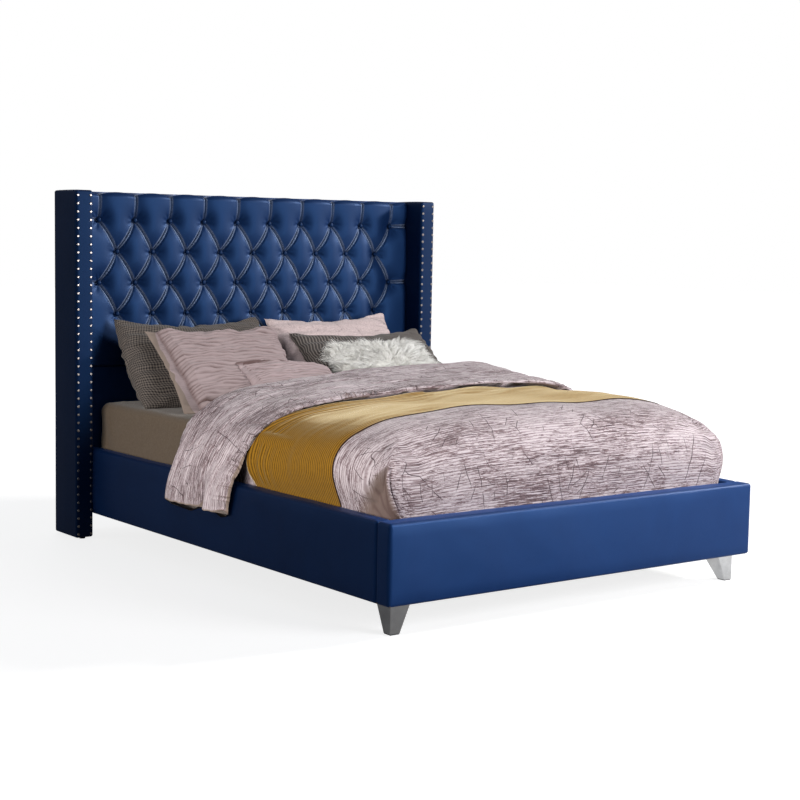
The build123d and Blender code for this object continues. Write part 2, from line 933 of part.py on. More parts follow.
# Turned-back end of the duvet
def make_turned_back_end():
    with BuildPart() as turned_back:
        for along, lift, thick, wave in fold_shares:
            with BuildSketch(across_bed(fold_foot + along * fold_length)):
                add(fold_profile(lift, thick, wave))
        loft(ruled=True)
        add(duvet_form(fold_clear), mode=Mode.SUBTRACT)
        add(mattress_form(2 * soft_gap + sheet_thickness, slat_top), mode=Mode.SUBTRACT)
    keep(turned_back, "duvet_turned_back")


# Throw: a thin band over the duvet, tucked in at both rails
def make_throw():
    length = fold_foot - duvet_foot - throw_start - fold_clear
    outer = throw_gap + throw_thickness
    hem = duvet_hem + throw_hem_rise
    with BuildPart() as throw_blanket:
        for growth, mode in ((outer, Mode.ADD), (throw_gap, Mode.SUBTRACT)):
            with BuildSketch(across_bed(duvet_foot + throw_start)):
                add(duvet_profile(1, growth))
            extrude(amount=-length, mode=mode)
        block(
            (-wing_outer, wing_outer),
            (foot_face, head_face),
            (duvet_hem - overrun, hem),
            Mode.SUBTRACT,
        )
    keep(throw_blanket, "throw_blanket")


def pillow_form(pillow, growth):
    """A pillow swollen by growth: lens sections across its width, pinched at the ends."""
    width, height, front, back, side, inset, base, lean = pillow
    x = side * (mattress_width / 2 - inset - width / 2)
    angle = math.radians(lean)
    up = Vector(0, math.sin(angle), math.cos(angle))
    out = Vector(0, -math.cos(angle), math.sin(angle))
    foot = Vector(x, mattress_head - base, sheet_top - pillow_rest_drop)
    middle = foot + up * (height / 2)
    with BuildPart() as form:
        for along, thick in pillow_station_shares:
            centre = middle + Vector(along * (width + 2 * growth), 0, 0)
            half = height / 2 + growth - pillow_draw_in * thick
            with BuildSketch(Plane(origin=centre, x_dir=up, z_dir=(1, 0, 0))):
                with BuildLine():
                    ThreePointArc((-half, 0), (0, thick * back + growth), (half, 0))
                    ThreePointArc((half, 0), (0, -thick * front - growth), (-half, 0))
                make_face()
        loft()
        face = Plane(origin=middle, x_dir=(1, 0, 0), z_dir=out)
        for side in (-1, 1):
            end = side * (width / 2 + growth)
            waist = end - side * pillow_draw_in
            clear = end + side * overrun
            half = height / 2 + growth
            with BuildSketch(face):
                with BuildLine():
                    ThreePointArc((end, -half), (waist, 0), (end, half))
                    Polyline((end, half), (clear, half), (clear, -half), (end, -half))
                make_face()
        extrude(amount=front + back, both=True, mode=Mode.SUBTRACT)
    return form.part


# Six pillows, each flat where it rests on the sheet and hollowed by the one behind
def make_pillows():
    rear = (rear_pillow_width, rear_pillow_height, rear_pillow_front, rear_pillow_back)
    middle = (middle_pillow_width, middle_pillow_height, middle_pillow_front, middle_pillow_back)
    front = (front_pillow_width, front_pillow_height, front_pillow_front, front_pillow_back)
    striped = (striped_pillow_width, striped_pillow_height, middle_pillow_front, middle_pillow_back)
    fur = (fur_pillow_width, fur_pillow_height, fur_pillow_front, front_pillow_back)
    groups = (
        (
            ("pillow_rear_left", rear + (-1, rear_left_inset, rear_base, rear_lean)),
            ("pillow_middle_left", middle + (-1, middle_left_inset, middle_base, middle_lean)),
            ("pillow_front_left", front + (-1, front_left_inset, front_base, front_lean)),
        ),
        (
            ("pillow_rear_right", rear + (1, rear_right_inset, rear_base, rear_lean)),
            ("pillow_middle_right", striped + (1, striped_inset, striped_base, striped_lean)),
            ("pillow_front_right", fur + (1, fur_inset, fur_base, fur_lean)),
        ),
    )
    behind = []
    for group in groups:
        for name, shape in group:
            with BuildPart() as pillow:
                add(pillow_form(shape, 0))
                block(
                    (-wing_outer, wing_outer),
                    (foot_face, head_face),
                    (slat_top, sheet_top + soft_gap),
                    Mode.SUBTRACT,
                )
                block(
                    (-wing_outer, wing_outer),
                    (pad_front - soft_gap, head_face + overrun),
                    (slat_top, bed_height),
                    Mode.SUBTRACT,
                )
                for other in behind:
                    add(pillow_form(other, soft_gap), mode=Mode.SUBTRACT)
            behind.append(shape)
            keep(pillow, name)


os.makedirs("parts", exist_ok=True)
make_footboard()
make_side_rails()
make_corner_brackets()
make_front_legs()
make_slats()
make_centre_support()
make_headboard_frame()
make_tufted_pad()
make_wings()
make_mattress()
make_duvet()
make_turned_back_end()
make_throw()
make_pillows()
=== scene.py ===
import bpy
import math
import numpy as np
from mathutils import Matrix, Vector
from mathutils.bvhtree import BVHTree


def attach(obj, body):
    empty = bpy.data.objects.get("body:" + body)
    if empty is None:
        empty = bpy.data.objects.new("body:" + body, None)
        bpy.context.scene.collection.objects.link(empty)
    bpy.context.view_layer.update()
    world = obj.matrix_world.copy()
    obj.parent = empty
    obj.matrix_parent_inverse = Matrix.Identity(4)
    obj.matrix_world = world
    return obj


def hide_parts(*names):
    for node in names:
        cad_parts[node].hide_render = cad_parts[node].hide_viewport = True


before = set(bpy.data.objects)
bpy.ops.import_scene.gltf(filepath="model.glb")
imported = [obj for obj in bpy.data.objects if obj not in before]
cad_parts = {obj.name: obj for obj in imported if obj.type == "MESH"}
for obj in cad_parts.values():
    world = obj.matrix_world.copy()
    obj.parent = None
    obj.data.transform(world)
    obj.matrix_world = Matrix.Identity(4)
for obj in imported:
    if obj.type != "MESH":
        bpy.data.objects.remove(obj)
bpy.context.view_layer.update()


# ---- The photograph's viewpoint
# The camera stands at the foot of the bed, to the left, at standing height. Its place was
# fitted to the corners of the bed, with one degree of roll.
azimuth, elevation, roll = math.radians(-37.08), math.radians(5.664), math.radians(1.014)
towards_camera = Vector((
    math.sin(azimuth) * math.cos(elevation),
    -math.cos(azimuth) * math.cos(elevation),
    math.sin(elevation),
))
camera_right = (-towards_camera).cross(Vector((0, 0, 1))).normalized()
camera_up = camera_right.cross(-towards_camera)
rolled_right = camera_right * math.cos(roll) + camera_up * math.sin(roll)
rolled_up = camera_up * math.cos(roll) - camera_right * math.sin(roll)
bpy.ops.object.camera_add(location=(-3.8008, -5.0798, 1.2455))
camera = bpy.context.object
turn = Matrix((rolled_right, rolled_up, towards_camera)).transposed().to_4x4()
camera.matrix_world = Matrix.Translation(camera.location) @ turn
camera.data.sensor_width = 36
camera.data.lens = 72.8
camera.data.clip_end = 100
bpy.context.scene.camera = camera


# ---- Floor and light
# A plain pale studio floor that fades into a white room, with soft lamps. The strongest stands
# on the right, and only weak ones reach the left-hand velvet, which stays in shade.
def shading(name, colour, roughness, **values):
    """A material with its shader's own constant values, ready for its nodes."""
    made = bpy.data.materials.new(name)
    made.use_nodes = True
    shader = made.node_tree.nodes["Principled BSDF"]
    shader.inputs["Base Color"].default_value = (*colour, 1)
    shader.inputs["Roughness"].default_value = roughness
    for socket, value in values.items():
        shader.inputs[socket.replace("_", " ")].default_value = value
    return made


def add_node(tree, kind, wires, **settings):
    """Adds a node; each wire gives one of its inputs a value or another node's output."""
    made = tree.nodes.new("ShaderNode" + kind)
    for setting, value in settings.items():
        setattr(made, setting, value)
    for number, value in wires.items():
        socket = made.inputs[number]
        if isinstance(value, bpy.types.NodeSocket):
            tree.links.new(value, socket)
        else:
            socket.default_value = (*value, 1)[:4] if socket.type == "RGBA" else value
    return made


def maths(tree, operation, first, second=0.0):
    """The result of a sum on one or two numbers."""
    return add_node(tree, "Math", {0: first, 1: second}, operation=operation).outputs[0]


def graded(tree, value, low, high, bottom=0.0, top=1.0):
    """Maps low..high of a value to bottom..top, and holds it there."""
    wires = {"Value": value, "From Min": low, "From Max": high, "To Min": bottom, "To Max": top}
    return add_node(tree, "MapRange", wires, clamp=True).outputs[0]


def lamp(name, place, aim, size, power, colour):
    """A square soft lamp that points at the aim."""
    bpy.ops.object.light_add(type="AREA", location=place)
    made = bpy.context.object
    made.name = name
    made.data.size = size
    made.data.energy = power
    made.data.color = colour
    made.rotation_euler = (Vector(aim) - Vector(place)).to_track_quat("-Z", "Y").to_euler()


bpy.context.scene.view_settings.view_transform = "Standard"
bpy.ops.mesh.primitive_plane_add(size=60)
floor = bpy.context.object
floor.name = "studio_floor"
floor_paint = shading("pale_floor", (0.36, 0.36, 0.365), 0.9, Emission_Color=(1, 1, 1, 1))
tree = floor_paint.node_tree
shader = tree.nodes["Principled BSDF"]
place = add_node(tree, "TexCoord", {}).outputs["Object"]
reach = add_node(tree, "VectorMath", {0: place}, operation="LENGTH").outputs["Value"]
tree.links.new(graded(tree, reach, 2.0, 6.5, 0.80, 1.0), shader.inputs["Emission Strength"])
# To reflection rays the floor glows, brighter towards the right: a painted reflection in the
# polished legs. To the other rays that light the bed it is a dim grey floor.
rays = add_node(tree, "LightPath", {}).outputs
to_right = add_node(tree, "SeparateXYZ", {0: place}).outputs["X"]
lit_right = graded(tree, to_right, 0.0, 1.0, 0.06, 0.62)
mirrored = maths(tree, "MULTIPLY", lit_right, rays["Is Glossy Ray"])
gleam = add_node(tree, "Emission", {"Strength": mirrored})
dim = add_node(tree, "BsdfDiffuse", {"Color": (0.16, 0.155, 0.15)})
unseen = add_node(tree, "AddShader", {0: dim.outputs[0], 1: gleam.outputs[0]}).outputs[0]
mixed = add_node(tree, "MixShader", {0: rays["Is Camera Ray"], 1: unseen, 2: shader.outputs[0]})
tree.links.new(mixed.outputs[0], tree.nodes["Material Output"].inputs[0])
floor.data.materials.append(floor_paint)

lamp("key_lamp", (6.3, -2.0, 3.6), (0, 0, 0.7), 0.8, 450, (1.0, 0.975, 0.94))
lamp("left_lamp", (-6.0, -2.4, 2.0), (0, -0.4, 0.5), 3.0, 430, (1.0, 0.97, 0.93))
lamp("side_lamp", (-6.0, 1.6, 2.6), (-0.9, 0, 0.6), 3.0, 34, (0.96, 0.98, 1.0))
lamp("front_lamp", (1.3, -4.2, 1.7), (0, -1.0, 0.4), 2.0, 140, (0.97, 0.98, 1.0))
lamp("back_lamp", (1.5, 6.5, 2.4), (0, 1.1, 0.7), 3.0, 60, (0.96, 0.98, 1.0))

room = bpy.data.worlds.new("pale_room")
bpy.context.scene.world = room
room.use_nodes = True
tree = room.node_tree
lighting = tree.nodes["Background"]
lighting.inputs["Color"].default_value = (0.90, 0.94, 1.0, 1)
lighting.inputs["Strength"].default_value = 0.18
backdrop = add_node(tree, "Background", {"Color": (1, 1, 1), "Strength": 1.0}).outputs[0]
seen = add_node(tree, "LightPath", {}).outputs["Is Camera Ray"]
mixed = add_node(tree, "MixShader", {0: seen, 1: lighting.outputs[0], 2: backdrop})
tree.links.new(mixed.outputs[0], tree.nodes["World Output"].inputs[0])


# ---- Buttoned headboard pad
# Foam and wadding under navy velvet, pulled back to the plywood by covered buttons. The cloth
# is pleated between the buttons, and the pleats run up over the padded top edge.
def points_of(piece):
    """The places of a piece's points, one row each."""
    flat = np.empty(len(piece.data.vertices) * 3)
    piece.data.vertices.foreach_get("co", flat)
    return flat.reshape(-1, 3)


def place_points(piece, points):
    """Moves a piece's points to new places."""
    piece.data.vertices.foreach_set("co", np.ascontiguousarray(points).ravel())
    piece.data.update()


def cloth_grid(name, columns, rows):
    """A flat grid of cloth, with the column and the row of each of its points."""
    bpy.ops.object.select_all(action="DESELECT")
    bpy.ops.mesh.primitive_grid_add(x_subdivisions=columns - 1, y_subdivisions=rows - 1, size=2)
    piece = bpy.context.object
    piece.name = name
    flat = points_of(piece)
    column = np.rint((flat[:, 0] + 1) / 2 * (columns - 1)).astype(int)
    row = np.rint((flat[:, 1] + 1) / 2 * (rows - 1)).astype(int)
    return piece, column, row


def lay_out(piece, across, along):
    """Writes the cloth's own lengths, in metres, as its UV map."""
    corners = np.empty(len(piece.data.loops), dtype=int)
    piece.data.loops.foreach_get("vertex_index", corners)
    layout = np.stack([across[corners], along[corners]], axis=1)
    piece.data.uv_layers.active.data.foreach_set("uv", layout.ravel())


def mark_points(piece, name, values):
    """Writes a number for each point, which the piece's material reads."""
    layer = piece.data.attributes.new(name, "FLOAT", "POINT")
    layer.data.foreach_set("value", np.ascontiguousarray(values, dtype=np.float32))


def pick(piece, *others):
    """Selects pieces alone, the first of them active."""
    bpy.ops.object.select_all(action="DESELECT")
    for one in (piece, *others):
        one.select_set(True)
    bpy.context.view_layer.objects.active = piece


def turn_outwards(piece, gap=None, smooth=True):
    """Turns the faces outwards; a gap first merges the points that meet, and fills open ends."""
    pick(piece)
    bpy.ops.object.mode_set(mode="EDIT")
    bpy.ops.mesh.select_all(action="SELECT")
    if gap is not None:
        bpy.ops.mesh.remove_doubles(threshold=gap)
        bpy.ops.mesh.select_all(action="SELECT")
        bpy.ops.mesh.fill_holes(sides=0)
        bpy.ops.mesh.select_all(action="SELECT")
    bpy.ops.mesh.normals_make_consistent(inside=False)
    bpy.ops.object.mode_set(mode="OBJECT")
    if smooth:
        bpy.ops.object.shade_smooth()


def dress(piece, material, node):
    """Gives a finished piece its material and its body, and hides the imported node it stands for.
    """
    piece.data.materials.append(material)
    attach(piece, "bed")
    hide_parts(node)


def arc(centre, radius, start, stop, count):
    """Points on an arc in the Y-Z plane, from one angle to another in degrees."""
    angles = np.radians(np.linspace(start, stop, count))
    return np.stack([centre[0] + radius * np.cos(angles), centre[1] + radius * np.sin(angles)], 1)


pad_front, pad_back, pad_bottom, pad_top = 1.020, 1.0605, 0.7003, 1.422
pad_half_width, top_roll, bottom_roll, lip_bottom = 0.8377, 0.026, 0.008, 1.4107
first_front, roll_points, ledge_points = 6, 11, 7
row_step, open_pleat = 0.0034, 0.215
front_rows = np.arange(pad_bottom + bottom_roll, pad_top - top_roll, row_step)
pad_loop = np.concatenate([
    [[pad_back, pad_bottom], [pad_front + 2 * bottom_roll, pad_bottom]],
    arc((pad_front + bottom_roll, pad_bottom + bottom_roll), bottom_roll, 270, 190, 4),
    np.stack([np.full(len(front_rows), pad_front), front_rows], 1),
    arc((pad_front + top_roll, pad_top - top_roll), top_roll, 180, 90, roll_points),
    np.stack([np.linspace(1.054, 1.110, ledge_points), np.full(ledge_points, pad_top)], 1),
    arc((1.112, pad_top - 0.006), 0.006, 70, 0, 4),
    [[1.118, lip_bottom], [1.09, lip_bottom], [pad_back, lip_bottom]],
    np.stack([np.full(9, pad_back), np.linspace(1.33, pad_bottom, 9)], 1),
])
loop_step = np.roll(pad_loop, -1, 0) - np.roll(pad_loop, 1, 0)
loop_step[0] = loop_step[-1] = (-1, -1)
loop_out = np.stack([-loop_step[:, 1], loop_step[:, 0]], 1)
loop_out /= np.linalg.norm(loop_out, axis=1)[:, None]
loop_reach = np.concatenate([[0], np.cumsum(np.linalg.norm(np.diff(pad_loop, axis=0), axis=1))])
loop_height = loop_reach - loop_reach[first_front] + pad_loop[first_front, 1]
shown_rows = first_front + len(front_rows) + roll_points + ledge_points

button_pitch, row_pitch, first_row_height = 0.1664, 0.130, 1.305
buttons = []
for row_number in range(5):
    in_row = (10, 9, 10, 9, 8)[row_number]
    for number in range(in_row):
        across = (number - (in_row - 1) / 2) * button_pitch
        buttons.append((across, first_row_height - row_number * row_pitch, row_number))
pleats = []
for across, height, row_number in buttons:
    for lean in (-1, 1):
        for end in buttons:
            near = abs(end[0] - across - lean * button_pitch / 2) < 0.01
            if near and end[2] == row_number + 1:
                pleats.append((across, height, end[0], end[1], False))
    if row_number == 0:
        pleats.append((across, height, across, height + open_pleat, True))
    if row_number == 4:
        pleats.append((across, height, across, pad_bottom, True))
    if row_number in (0, 2) and abs(across) > 0.74:
        pleats.append((across, height, math.copysign(pad_half_width, across), height + 0.004, True))


def beside_pleat(pleat, x, height):
    """How far points are along a pleat, as a share, how far off its line, and its length."""
    x0, z0, x1, z1, _ = pleat
    length = math.hypot(x1 - x0, z1 - z0)
    run = ((x - x0) * (x1 - x0) + (height - z0) * (z1 - z0)) / length ** 2
    off = ((x - x0) * (z1 - z0) - (height - z0) * (x1 - x0)) / length
    return run, off, length


def tufting(x, height):
    """How far the cloth is drawn in, with painted shade in the pleats and round the buttons, and
    painted highlights beside the pleats.
    """
    to_button = np.full(len(x), 9.0)
    around = np.zeros(len(x))
    for across, button_height, _ in buttons:
        reach = np.hypot(x - across, height - button_height)
        closer = reach < to_button
        to_button[closer] = reach[closer]
        around[closer] = np.arctan2(height - button_height, x - across)[closer]
    pit = 0.0225 * np.exp(-(to_button / 0.030) ** 1.3)
    swell = np.ones(len(x))
    crease, dark, pale = np.zeros(len(x)), np.zeros(len(x)), np.zeros(len(x))
    for pleat in pleats:
        x0, z0, x1, z1, open_end = pleat
        run, off, _ = beside_pleat(pleat, x, height)
        share = np.clip(run, 0, 1)
        away = np.hypot(x - x0 - share * (x1 - x0), height - z0 - share * (z1 - z0))
        swell *= 1 - np.exp(-(away / 0.033) ** 1.35)
        taper = np.sin(share * math.pi / (2 if open_end else 1)) ** 0.5
        inside = np.exp(-((away - np.abs(off)) / 0.003) ** 2)
        side = 1 if x1 > x0 else -1
        lip = 0.0090 * taper * side
        fold = np.exp(-(away / 0.0034) ** 2)
        second = 0.55 * inside * np.exp(-((off - lip) / 0.0024) ** 2)
        ridge = -0.30 * inside * np.exp(-((off - lip / 2) / 0.0028) ** 2)
        crease = np.maximum(crease, (fold + second + ridge) * taper)
        depth_here = np.clip(taper * 1.3 - 0.25, 0, 1)
        # Painted shade: the cloth along each pleat is darkened where its fold would lie in shade.
        shadow = np.maximum(np.exp(-(away / 0.0036) ** 2), 0.8 * second / 0.55)
        dark = np.maximum(dark, depth_here * shadow)
        # Painted highlight: pale lines on the lip and the cloth beside each pleat.
        beside = np.exp(-((off - lip / 2) / 0.0024) ** 2)
        beside += 0.7 * np.exp(-((off + 0.0058 * side) / 0.0022) ** 2)
        pale = np.maximum(pale, depth_here * inside * beside)
    gathers = np.cos(9 * around + 40 * np.abs(x)) * np.exp(-((to_button - 0.026) / 0.013) ** 2)
    drawn = pit + 0.0140 * (1 - swell) + 0.0080 * crease + 0.0012 * gathers
    # Painted shade in a ring round each button, where the cloth dips into its pit.
    dark = np.maximum(dark, 0.8 * np.exp(-((to_button - 0.0115) / 0.003) ** 2))
    return drawn, 0.9 * dark, pale * (1 - dark)


pad_columns = 480
pad, column, row = cloth_grid("headboard_tufted_pad", pad_columns, len(pad_loop))
x = np.linspace(-pad_half_width, pad_half_width, pad_columns)[column]
height = loop_height[row]
on_front = (row > first_front) & (row < shown_rows - 8)
for pleat in pleats:
    x0, z0, x1, z1, _ = pleat
    run, off, length = beside_pleat(pleat, x, height)
    snap = on_front & (np.abs(off) < 0.0016) & (run > 0.04) & (run < 0.96) & (abs(x0 - x1) > 0.01)
    snap &= (column > 0) & (column < pad_columns - 1)
    x = np.where(snap, x - off * (z1 - z0) / length, x)
drawn, painted_pleat_shade, painted_pleat_highlight = tufting(x, height)
fade_rows = [2, first_front + 2, shown_rows - 4, shown_rows]
fade = np.interp(np.arange(len(pad_loop)), fade_rows, [0, 1, 1, 0])
edge_roll = 0.007 * np.exp(-((pad_half_width - np.abs(x)) / 0.009) ** 2)
drawn = (drawn + edge_roll) * fade[row]
painted_pleat_shade, painted_pleat_highlight = painted_pleat_shade * fade[row], painted_pleat_highlight * fade[row]
place_points(pad, np.stack([
    x,
    pad_loop[row, 0] - loop_out[row, 0] * drawn,
    pad_loop[row, 1] - loop_out[row, 1] * drawn,
], 1))
mark_points(pad, "painted_pleat_shade", painted_pleat_shade)
mark_points(pad, "painted_pleat_highlight", painted_pleat_highlight)
turn_outwards(pad, gap=0.0002)


def blend(tree, share, low, high):
    """A colour between two others."""
    return add_node(tree, "Mix", {"Factor": share, 6: low, 7: high}, data_type="RGBA").outputs[2]


def noise(tree, place, scale, more):
    """Smooth noise; more gives the node's other inputs."""
    return add_node(tree, "TexNoise", {"Vector": place, "Scale": scale, **more}).outputs[0]


def marked(tree, name):
    """A number that the piece's points carry."""
    return add_node(tree, "Attribute", {}, attribute_name=name).outputs["Fac"]


def surface(made, colour, strength, depth, height, rough=None):
    """Wires a material's colour, its bump and, where that varies, its roughness."""
    tree = made.node_tree
    shader = tree.nodes["Principled BSDF"]
    tree.links.new(colour, shader.inputs["Base Color"])
    bump = add_node(tree, "Bump", {"Strength": strength, "Distance": depth, "Height": height})
    tree.links.new(bump.outputs[0], shader.inputs["Normal"])
    if rough is not None:
        tree.links.new(rough, shader.inputs["Roughness"])
    return made


def new_group(name, inputs, outputs):
    """A node group with sockets for what goes in; outputs come from fill_group."""
    group = bpy.data.node_groups.new(name, "ShaderNodeTree")
    for socket, kind in inputs:
        group.interface.new_socket(socket, in_out="INPUT", socket_type="NodeSocket" + kind)
    for socket in outputs:
        group.interface.new_socket(socket, in_out="OUTPUT", socket_type="NodeSocketFloat")
    return group, group.nodes.new("NodeGroupInput").outputs


def fill_group(group, *results):
    """Leads results to the group's outputs, in their order."""
    end = group.nodes.new("NodeGroupOutput")
    for number, result in enumerate(results):
        group.links.new(result, end.inputs[number])


# Pile of a velvet: hand-brushed patches, and the fine grain of its cut threads
pile, given = new_group(
    "velvet_pile", [("Place", "Vector"), ("Patch size", "Float")], ["Brushed", "Grain"]
)
brushing = {"Detail": 5.0, "Roughness": 0.6, "Distortion": 0.6}
patches = noise(pile, given["Place"], given["Patch size"], brushing)
grain = noise(pile, given["Place"], 420.0, {"Detail": 3.0, "Roughness": 0.7})
fill_group(pile, graded(pile, patches, 0.3, 0.7), grain)


def velvet_cloth(name, dark, light, sheen, gloss):
    """Velvet: brushed patches, with painted shade in its pleats and round its buttons, and painted
    highlights flecked beside the pleats.
    """
    made = shading(
        name, dark, 0.6, Sheen_Weight=sheen, Sheen_Roughness=0.4, Sheen_Tint=(0.05, 0.24, 0.9, 1),
        Specular_IOR_Level=gloss, Specular_Tint=(0.15, 0.40, 1.0, 1),
    )
    tree = made.node_tree
    place = add_node(tree, "TexCoord", {}).outputs["Object"]
    nap = add_node(tree, "Group", {"Place": place, "Patch size": 3.5}, node_tree=pile).outputs
    brushed = blend(tree, nap["Brushed"], dark, light)
    # Painted shade: the marked pleats and button rings turn almost black.
    deep = blend(tree, marked(tree, "painted_pleat_shade"), brushed, (0.0004, 0.001, 0.004))
    # Painted highlight: pale blue flecks where the piece is marked beside its pleats.
    flecks = graded(tree, nap["Grain"], 0.40, 0.60, 0.25, 1.0)
    caught = maths(tree, "MULTIPLY", marked(tree, "painted_pleat_highlight"), flecks)
    paler = blend(tree, caught, deep, (0.55, 0.66, 0.88))
    rough = graded(tree, nap["Grain"], 0.3, 0.7, 0.42, 0.60)
    return surface(made, paler, 0.18, 0.0006, nap["Grain"], rough)


velvet = velvet_cloth(
    "navy_velvet", (0.0045, 0.021, 0.092), (0.0070, 0.031, 0.124), sheen=0.22, gloss=0.75
)
# Darker, duller copies of the same velvet, painted as shade: one for the buttoned pad, and a darker
# one still for the wings and the buttons.
pad_velvet_painted_shade = velvet_cloth(
    "pad_velvet_painted_shade", (0.0036, 0.0150, 0.062), (0.0056, 0.0220, 0.084), sheen=0.17, gloss=0.62
)
shaded_velvet = velvet_cloth(
    "shaded_velvet", (0.0026, 0.0105, 0.043), (0.0040, 0.0155, 0.058), sheen=0.09, gloss=0.35
)
dress(pad, pad_velvet_painted_shade, "headboard_tufted_pad")


# ---- Covered buttons
# Pressed metal shells covered in the velvet's darkest copy, painted as shade. Each is pulled into
# the pad by a twine that is fixed behind the plywood.
def repeated(piece, name, shape, moves):
    """One piece made of copies of another, each with its own mesh, moved to its place."""
    copies = []
    for move in moves:
        copy = piece.copy()
        copy.data = piece.data.copy()
        bpy.context.collection.objects.link(copy)
        place_points(copy, shape + np.array(move))
        copies.append(copy)
    bpy.data.objects.remove(piece)
    pick(*copies)
    bpy.ops.object.join()
    bpy.context.object.name = name
    return bpy.context.object


button_radius, button_y, front_share, back_share = 0.0105, 1.0455, 0.62, 0.30
bpy.ops.object.select_all(action="DESELECT")
bpy.ops.mesh.primitive_uv_sphere_add(segments=20, ring_count=10, radius=button_radius)
button = bpy.context.object
shell = points_of(button)
shell[:, 1] = button_y + shell[:, 1] * np.where(shell[:, 1] < 0, front_share, back_share)
button_places = [(across, 0, height) for across, height, _ in buttons]
button_set = repeated(button, "headboard_buttons", shell, button_places)
bpy.ops.object.shade_smooth()
dress(button_set, shaded_velvet, "headboard_buttons")


# ---- Plain velvet covers: lower headboard pad, wings, footboard and side rails
# Each is a timber core wrapped in a thin layer of foam and velvet, drawn round the edges and
# stapled beneath, where the timber shows between the turned-in cloth.
def cut_lines(low, high, radius, step, inner=()):
    """Places to cut a block along one axis: close together at its rounded edges."""
    near = [radius * share for share in (0.12, 0.35, 0.65, 1.0)]
    middle = np.linspace(low + radius, high - radius, max(2, round((high - low) / step)))
    edge = [low + d for d in near] + [high - d for d in near]
    return sorted(set(np.round(np.concatenate([edge, middle[1:-1], np.array(inner)]), 5)))


def rounded_block(name, low, high, radius, step, hem=None):
    """A block cut into a fine net, with its edges rounded, and its base set in inside the hem."""
    low, high = np.array(low), np.array(high)
    bpy.ops.object.select_all(action="DESELECT")
    middle, lengths = tuple((low + high) / 2), tuple(high - low)
    bpy.ops.mesh.primitive_cube_add(size=1, location=middle, scale=lengths)
    piece = bpy.context.object
    piece.name = name
    bpy.ops.object.transform_apply(location=True, rotation=True, scale=True)
    bpy.ops.object.mode_set(mode="EDIT")
    for axis in range(3):
        inner = () if hem is None or axis == 2 else (low[axis] + hem, high[axis] - hem)
        for place in cut_lines(low[axis], high[axis], radius, step, inner):
            normal = tuple(float(axis == k) for k in range(3))
            bpy.ops.mesh.select_all(action="SELECT")
            bpy.ops.mesh.bisect(plane_co=tuple(n * place for n in normal), plane_no=normal)
    bpy.ops.object.mode_set(mode="OBJECT")
    points = points_of(piece)
    core = np.clip(points, low + radius, high - radius)
    out = points - core
    length = np.maximum(np.linalg.norm(out, axis=1), 1e-9)
    points = core + out / length[:, None] * np.minimum(length, radius)[:, None]
    if hem is not None:
        flat = np.abs(points[:, 2] - low[2]) < 1e-5
        above_low, below_high = points > low + hem + 0.001, points < high - hem - 0.001
        inside = np.all((above_low & below_high)[:, :2], 1)
        points[flat & inside, 2] += 0.006
    place_points(piece, points)
    return piece


def ripple(points, waves, seed):
    """A smooth random field: crossing sine waves, each (length in metres, share)."""
    rng = np.random.default_rng(seed)
    total = np.zeros(len(points))
    for length, share in waves:
        for _ in range(5):
            way = rng.normal(size=points.shape[1])
            way *= rng.uniform(0.7, 1.4) / np.linalg.norm(way) * 2 * math.pi / length
            total += share * np.sin(points @ way + rng.uniform(0, 2 * math.pi)) / 2.2
    return total


def soften(piece, low, high, swell, wrinkle, seed):
    """Crowns each face of a padded block a little, and gives its cloth slight unevenness."""
    points = points_of(piece)
    low, high = np.array(low), np.array(high)
    middle, half = (low + high) / 2, (high - low) / 2
    share = np.clip((points - middle) / half, -1, 1)
    edge = np.minimum(half, 0.12) / half
    level = np.clip((1 - np.abs(share)) / edge, 0, 1)
    ease = level * (2 - level)
    uneven = ripple(points, ((0.30, 1.0), (0.11, 0.5)), seed)
    for axis in range(3):
        others = [k for k in range(3) if k != axis]
        on_face = np.abs(share[:, axis]) > 0.999
        if axis == 2:
            on_face &= share[:, 2] > 0
        rise = swell * ease[:, others[0]] * ease[:, others[1]]
        raised = rise + wrinkle * uneven * rise / swell
        points[:, axis] += np.where(on_face, np.sign(share[:, axis]) * raised, 0)
    place_points(piece, points)


def velvet_cover(name, low, high, radius, step, swell, seed, hem=0.014, cloth=velvet):
    """A whole padded cover over the box between two corners."""
    piece = rounded_block(name, low, high, radius, step, hem)
    soften(piece, low, high, swell, swell * 0.35, seed)
    bpy.ops.object.shade_smooth()
    dress(piece, cloth, name)


rail_bottom, rail_top, head_half, rail_inner, bed_half = 0.102, 0.367, 0.838, 0.778, 0.914
velvet_cover(
    "headboard_lower_pad", (-pad_half_width, 1.031, rail_bottom), (pad_half_width, pad_back, 0.6997),
    0.008, 0.05, 0.003, 1, None,
)
# The wings take the darkest copy of the velvet, painted as shade.
for side, wing in ((-1, "left"), (1, "right")):
    inner, outer = sorted((side * head_half, side * bed_half))
    velvet_cover(
        f"wing_cover_{wing}", (inner, 0.918, 0.006), (outer, 1.12, pad_top),
        0.009, 0.035, 0.0022, 4 + side, cloth=shaded_velvet,
    )
    inner, outer = sorted((side * rail_inner, side * head_half))
    velvet_cover(
        f"side_rail_cover_{wing}", (inner, -1.0477, rail_bottom), (outer, 1.0307, rail_top),
        0.011, 0.04, 0.003, 8 + side,
    )
velvet_cover(
    "footboard_cover", (-head_half, -1.12, rail_bottom), (head_half, -1.048, rail_top),
    0.011, 0.035, 0.003, 11,
)


# ---- Timber frame, slats and headboard panel
# Softwood bars, glued and screwed, with a plywood face to the headboard. All of it is hidden
# from above; the slats, ledges and centre beam show from beneath.
def finish_nodes(material, *names):
    """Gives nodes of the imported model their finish."""
    for node in names:
        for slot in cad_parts[node].material_slots:
            slot.material = material


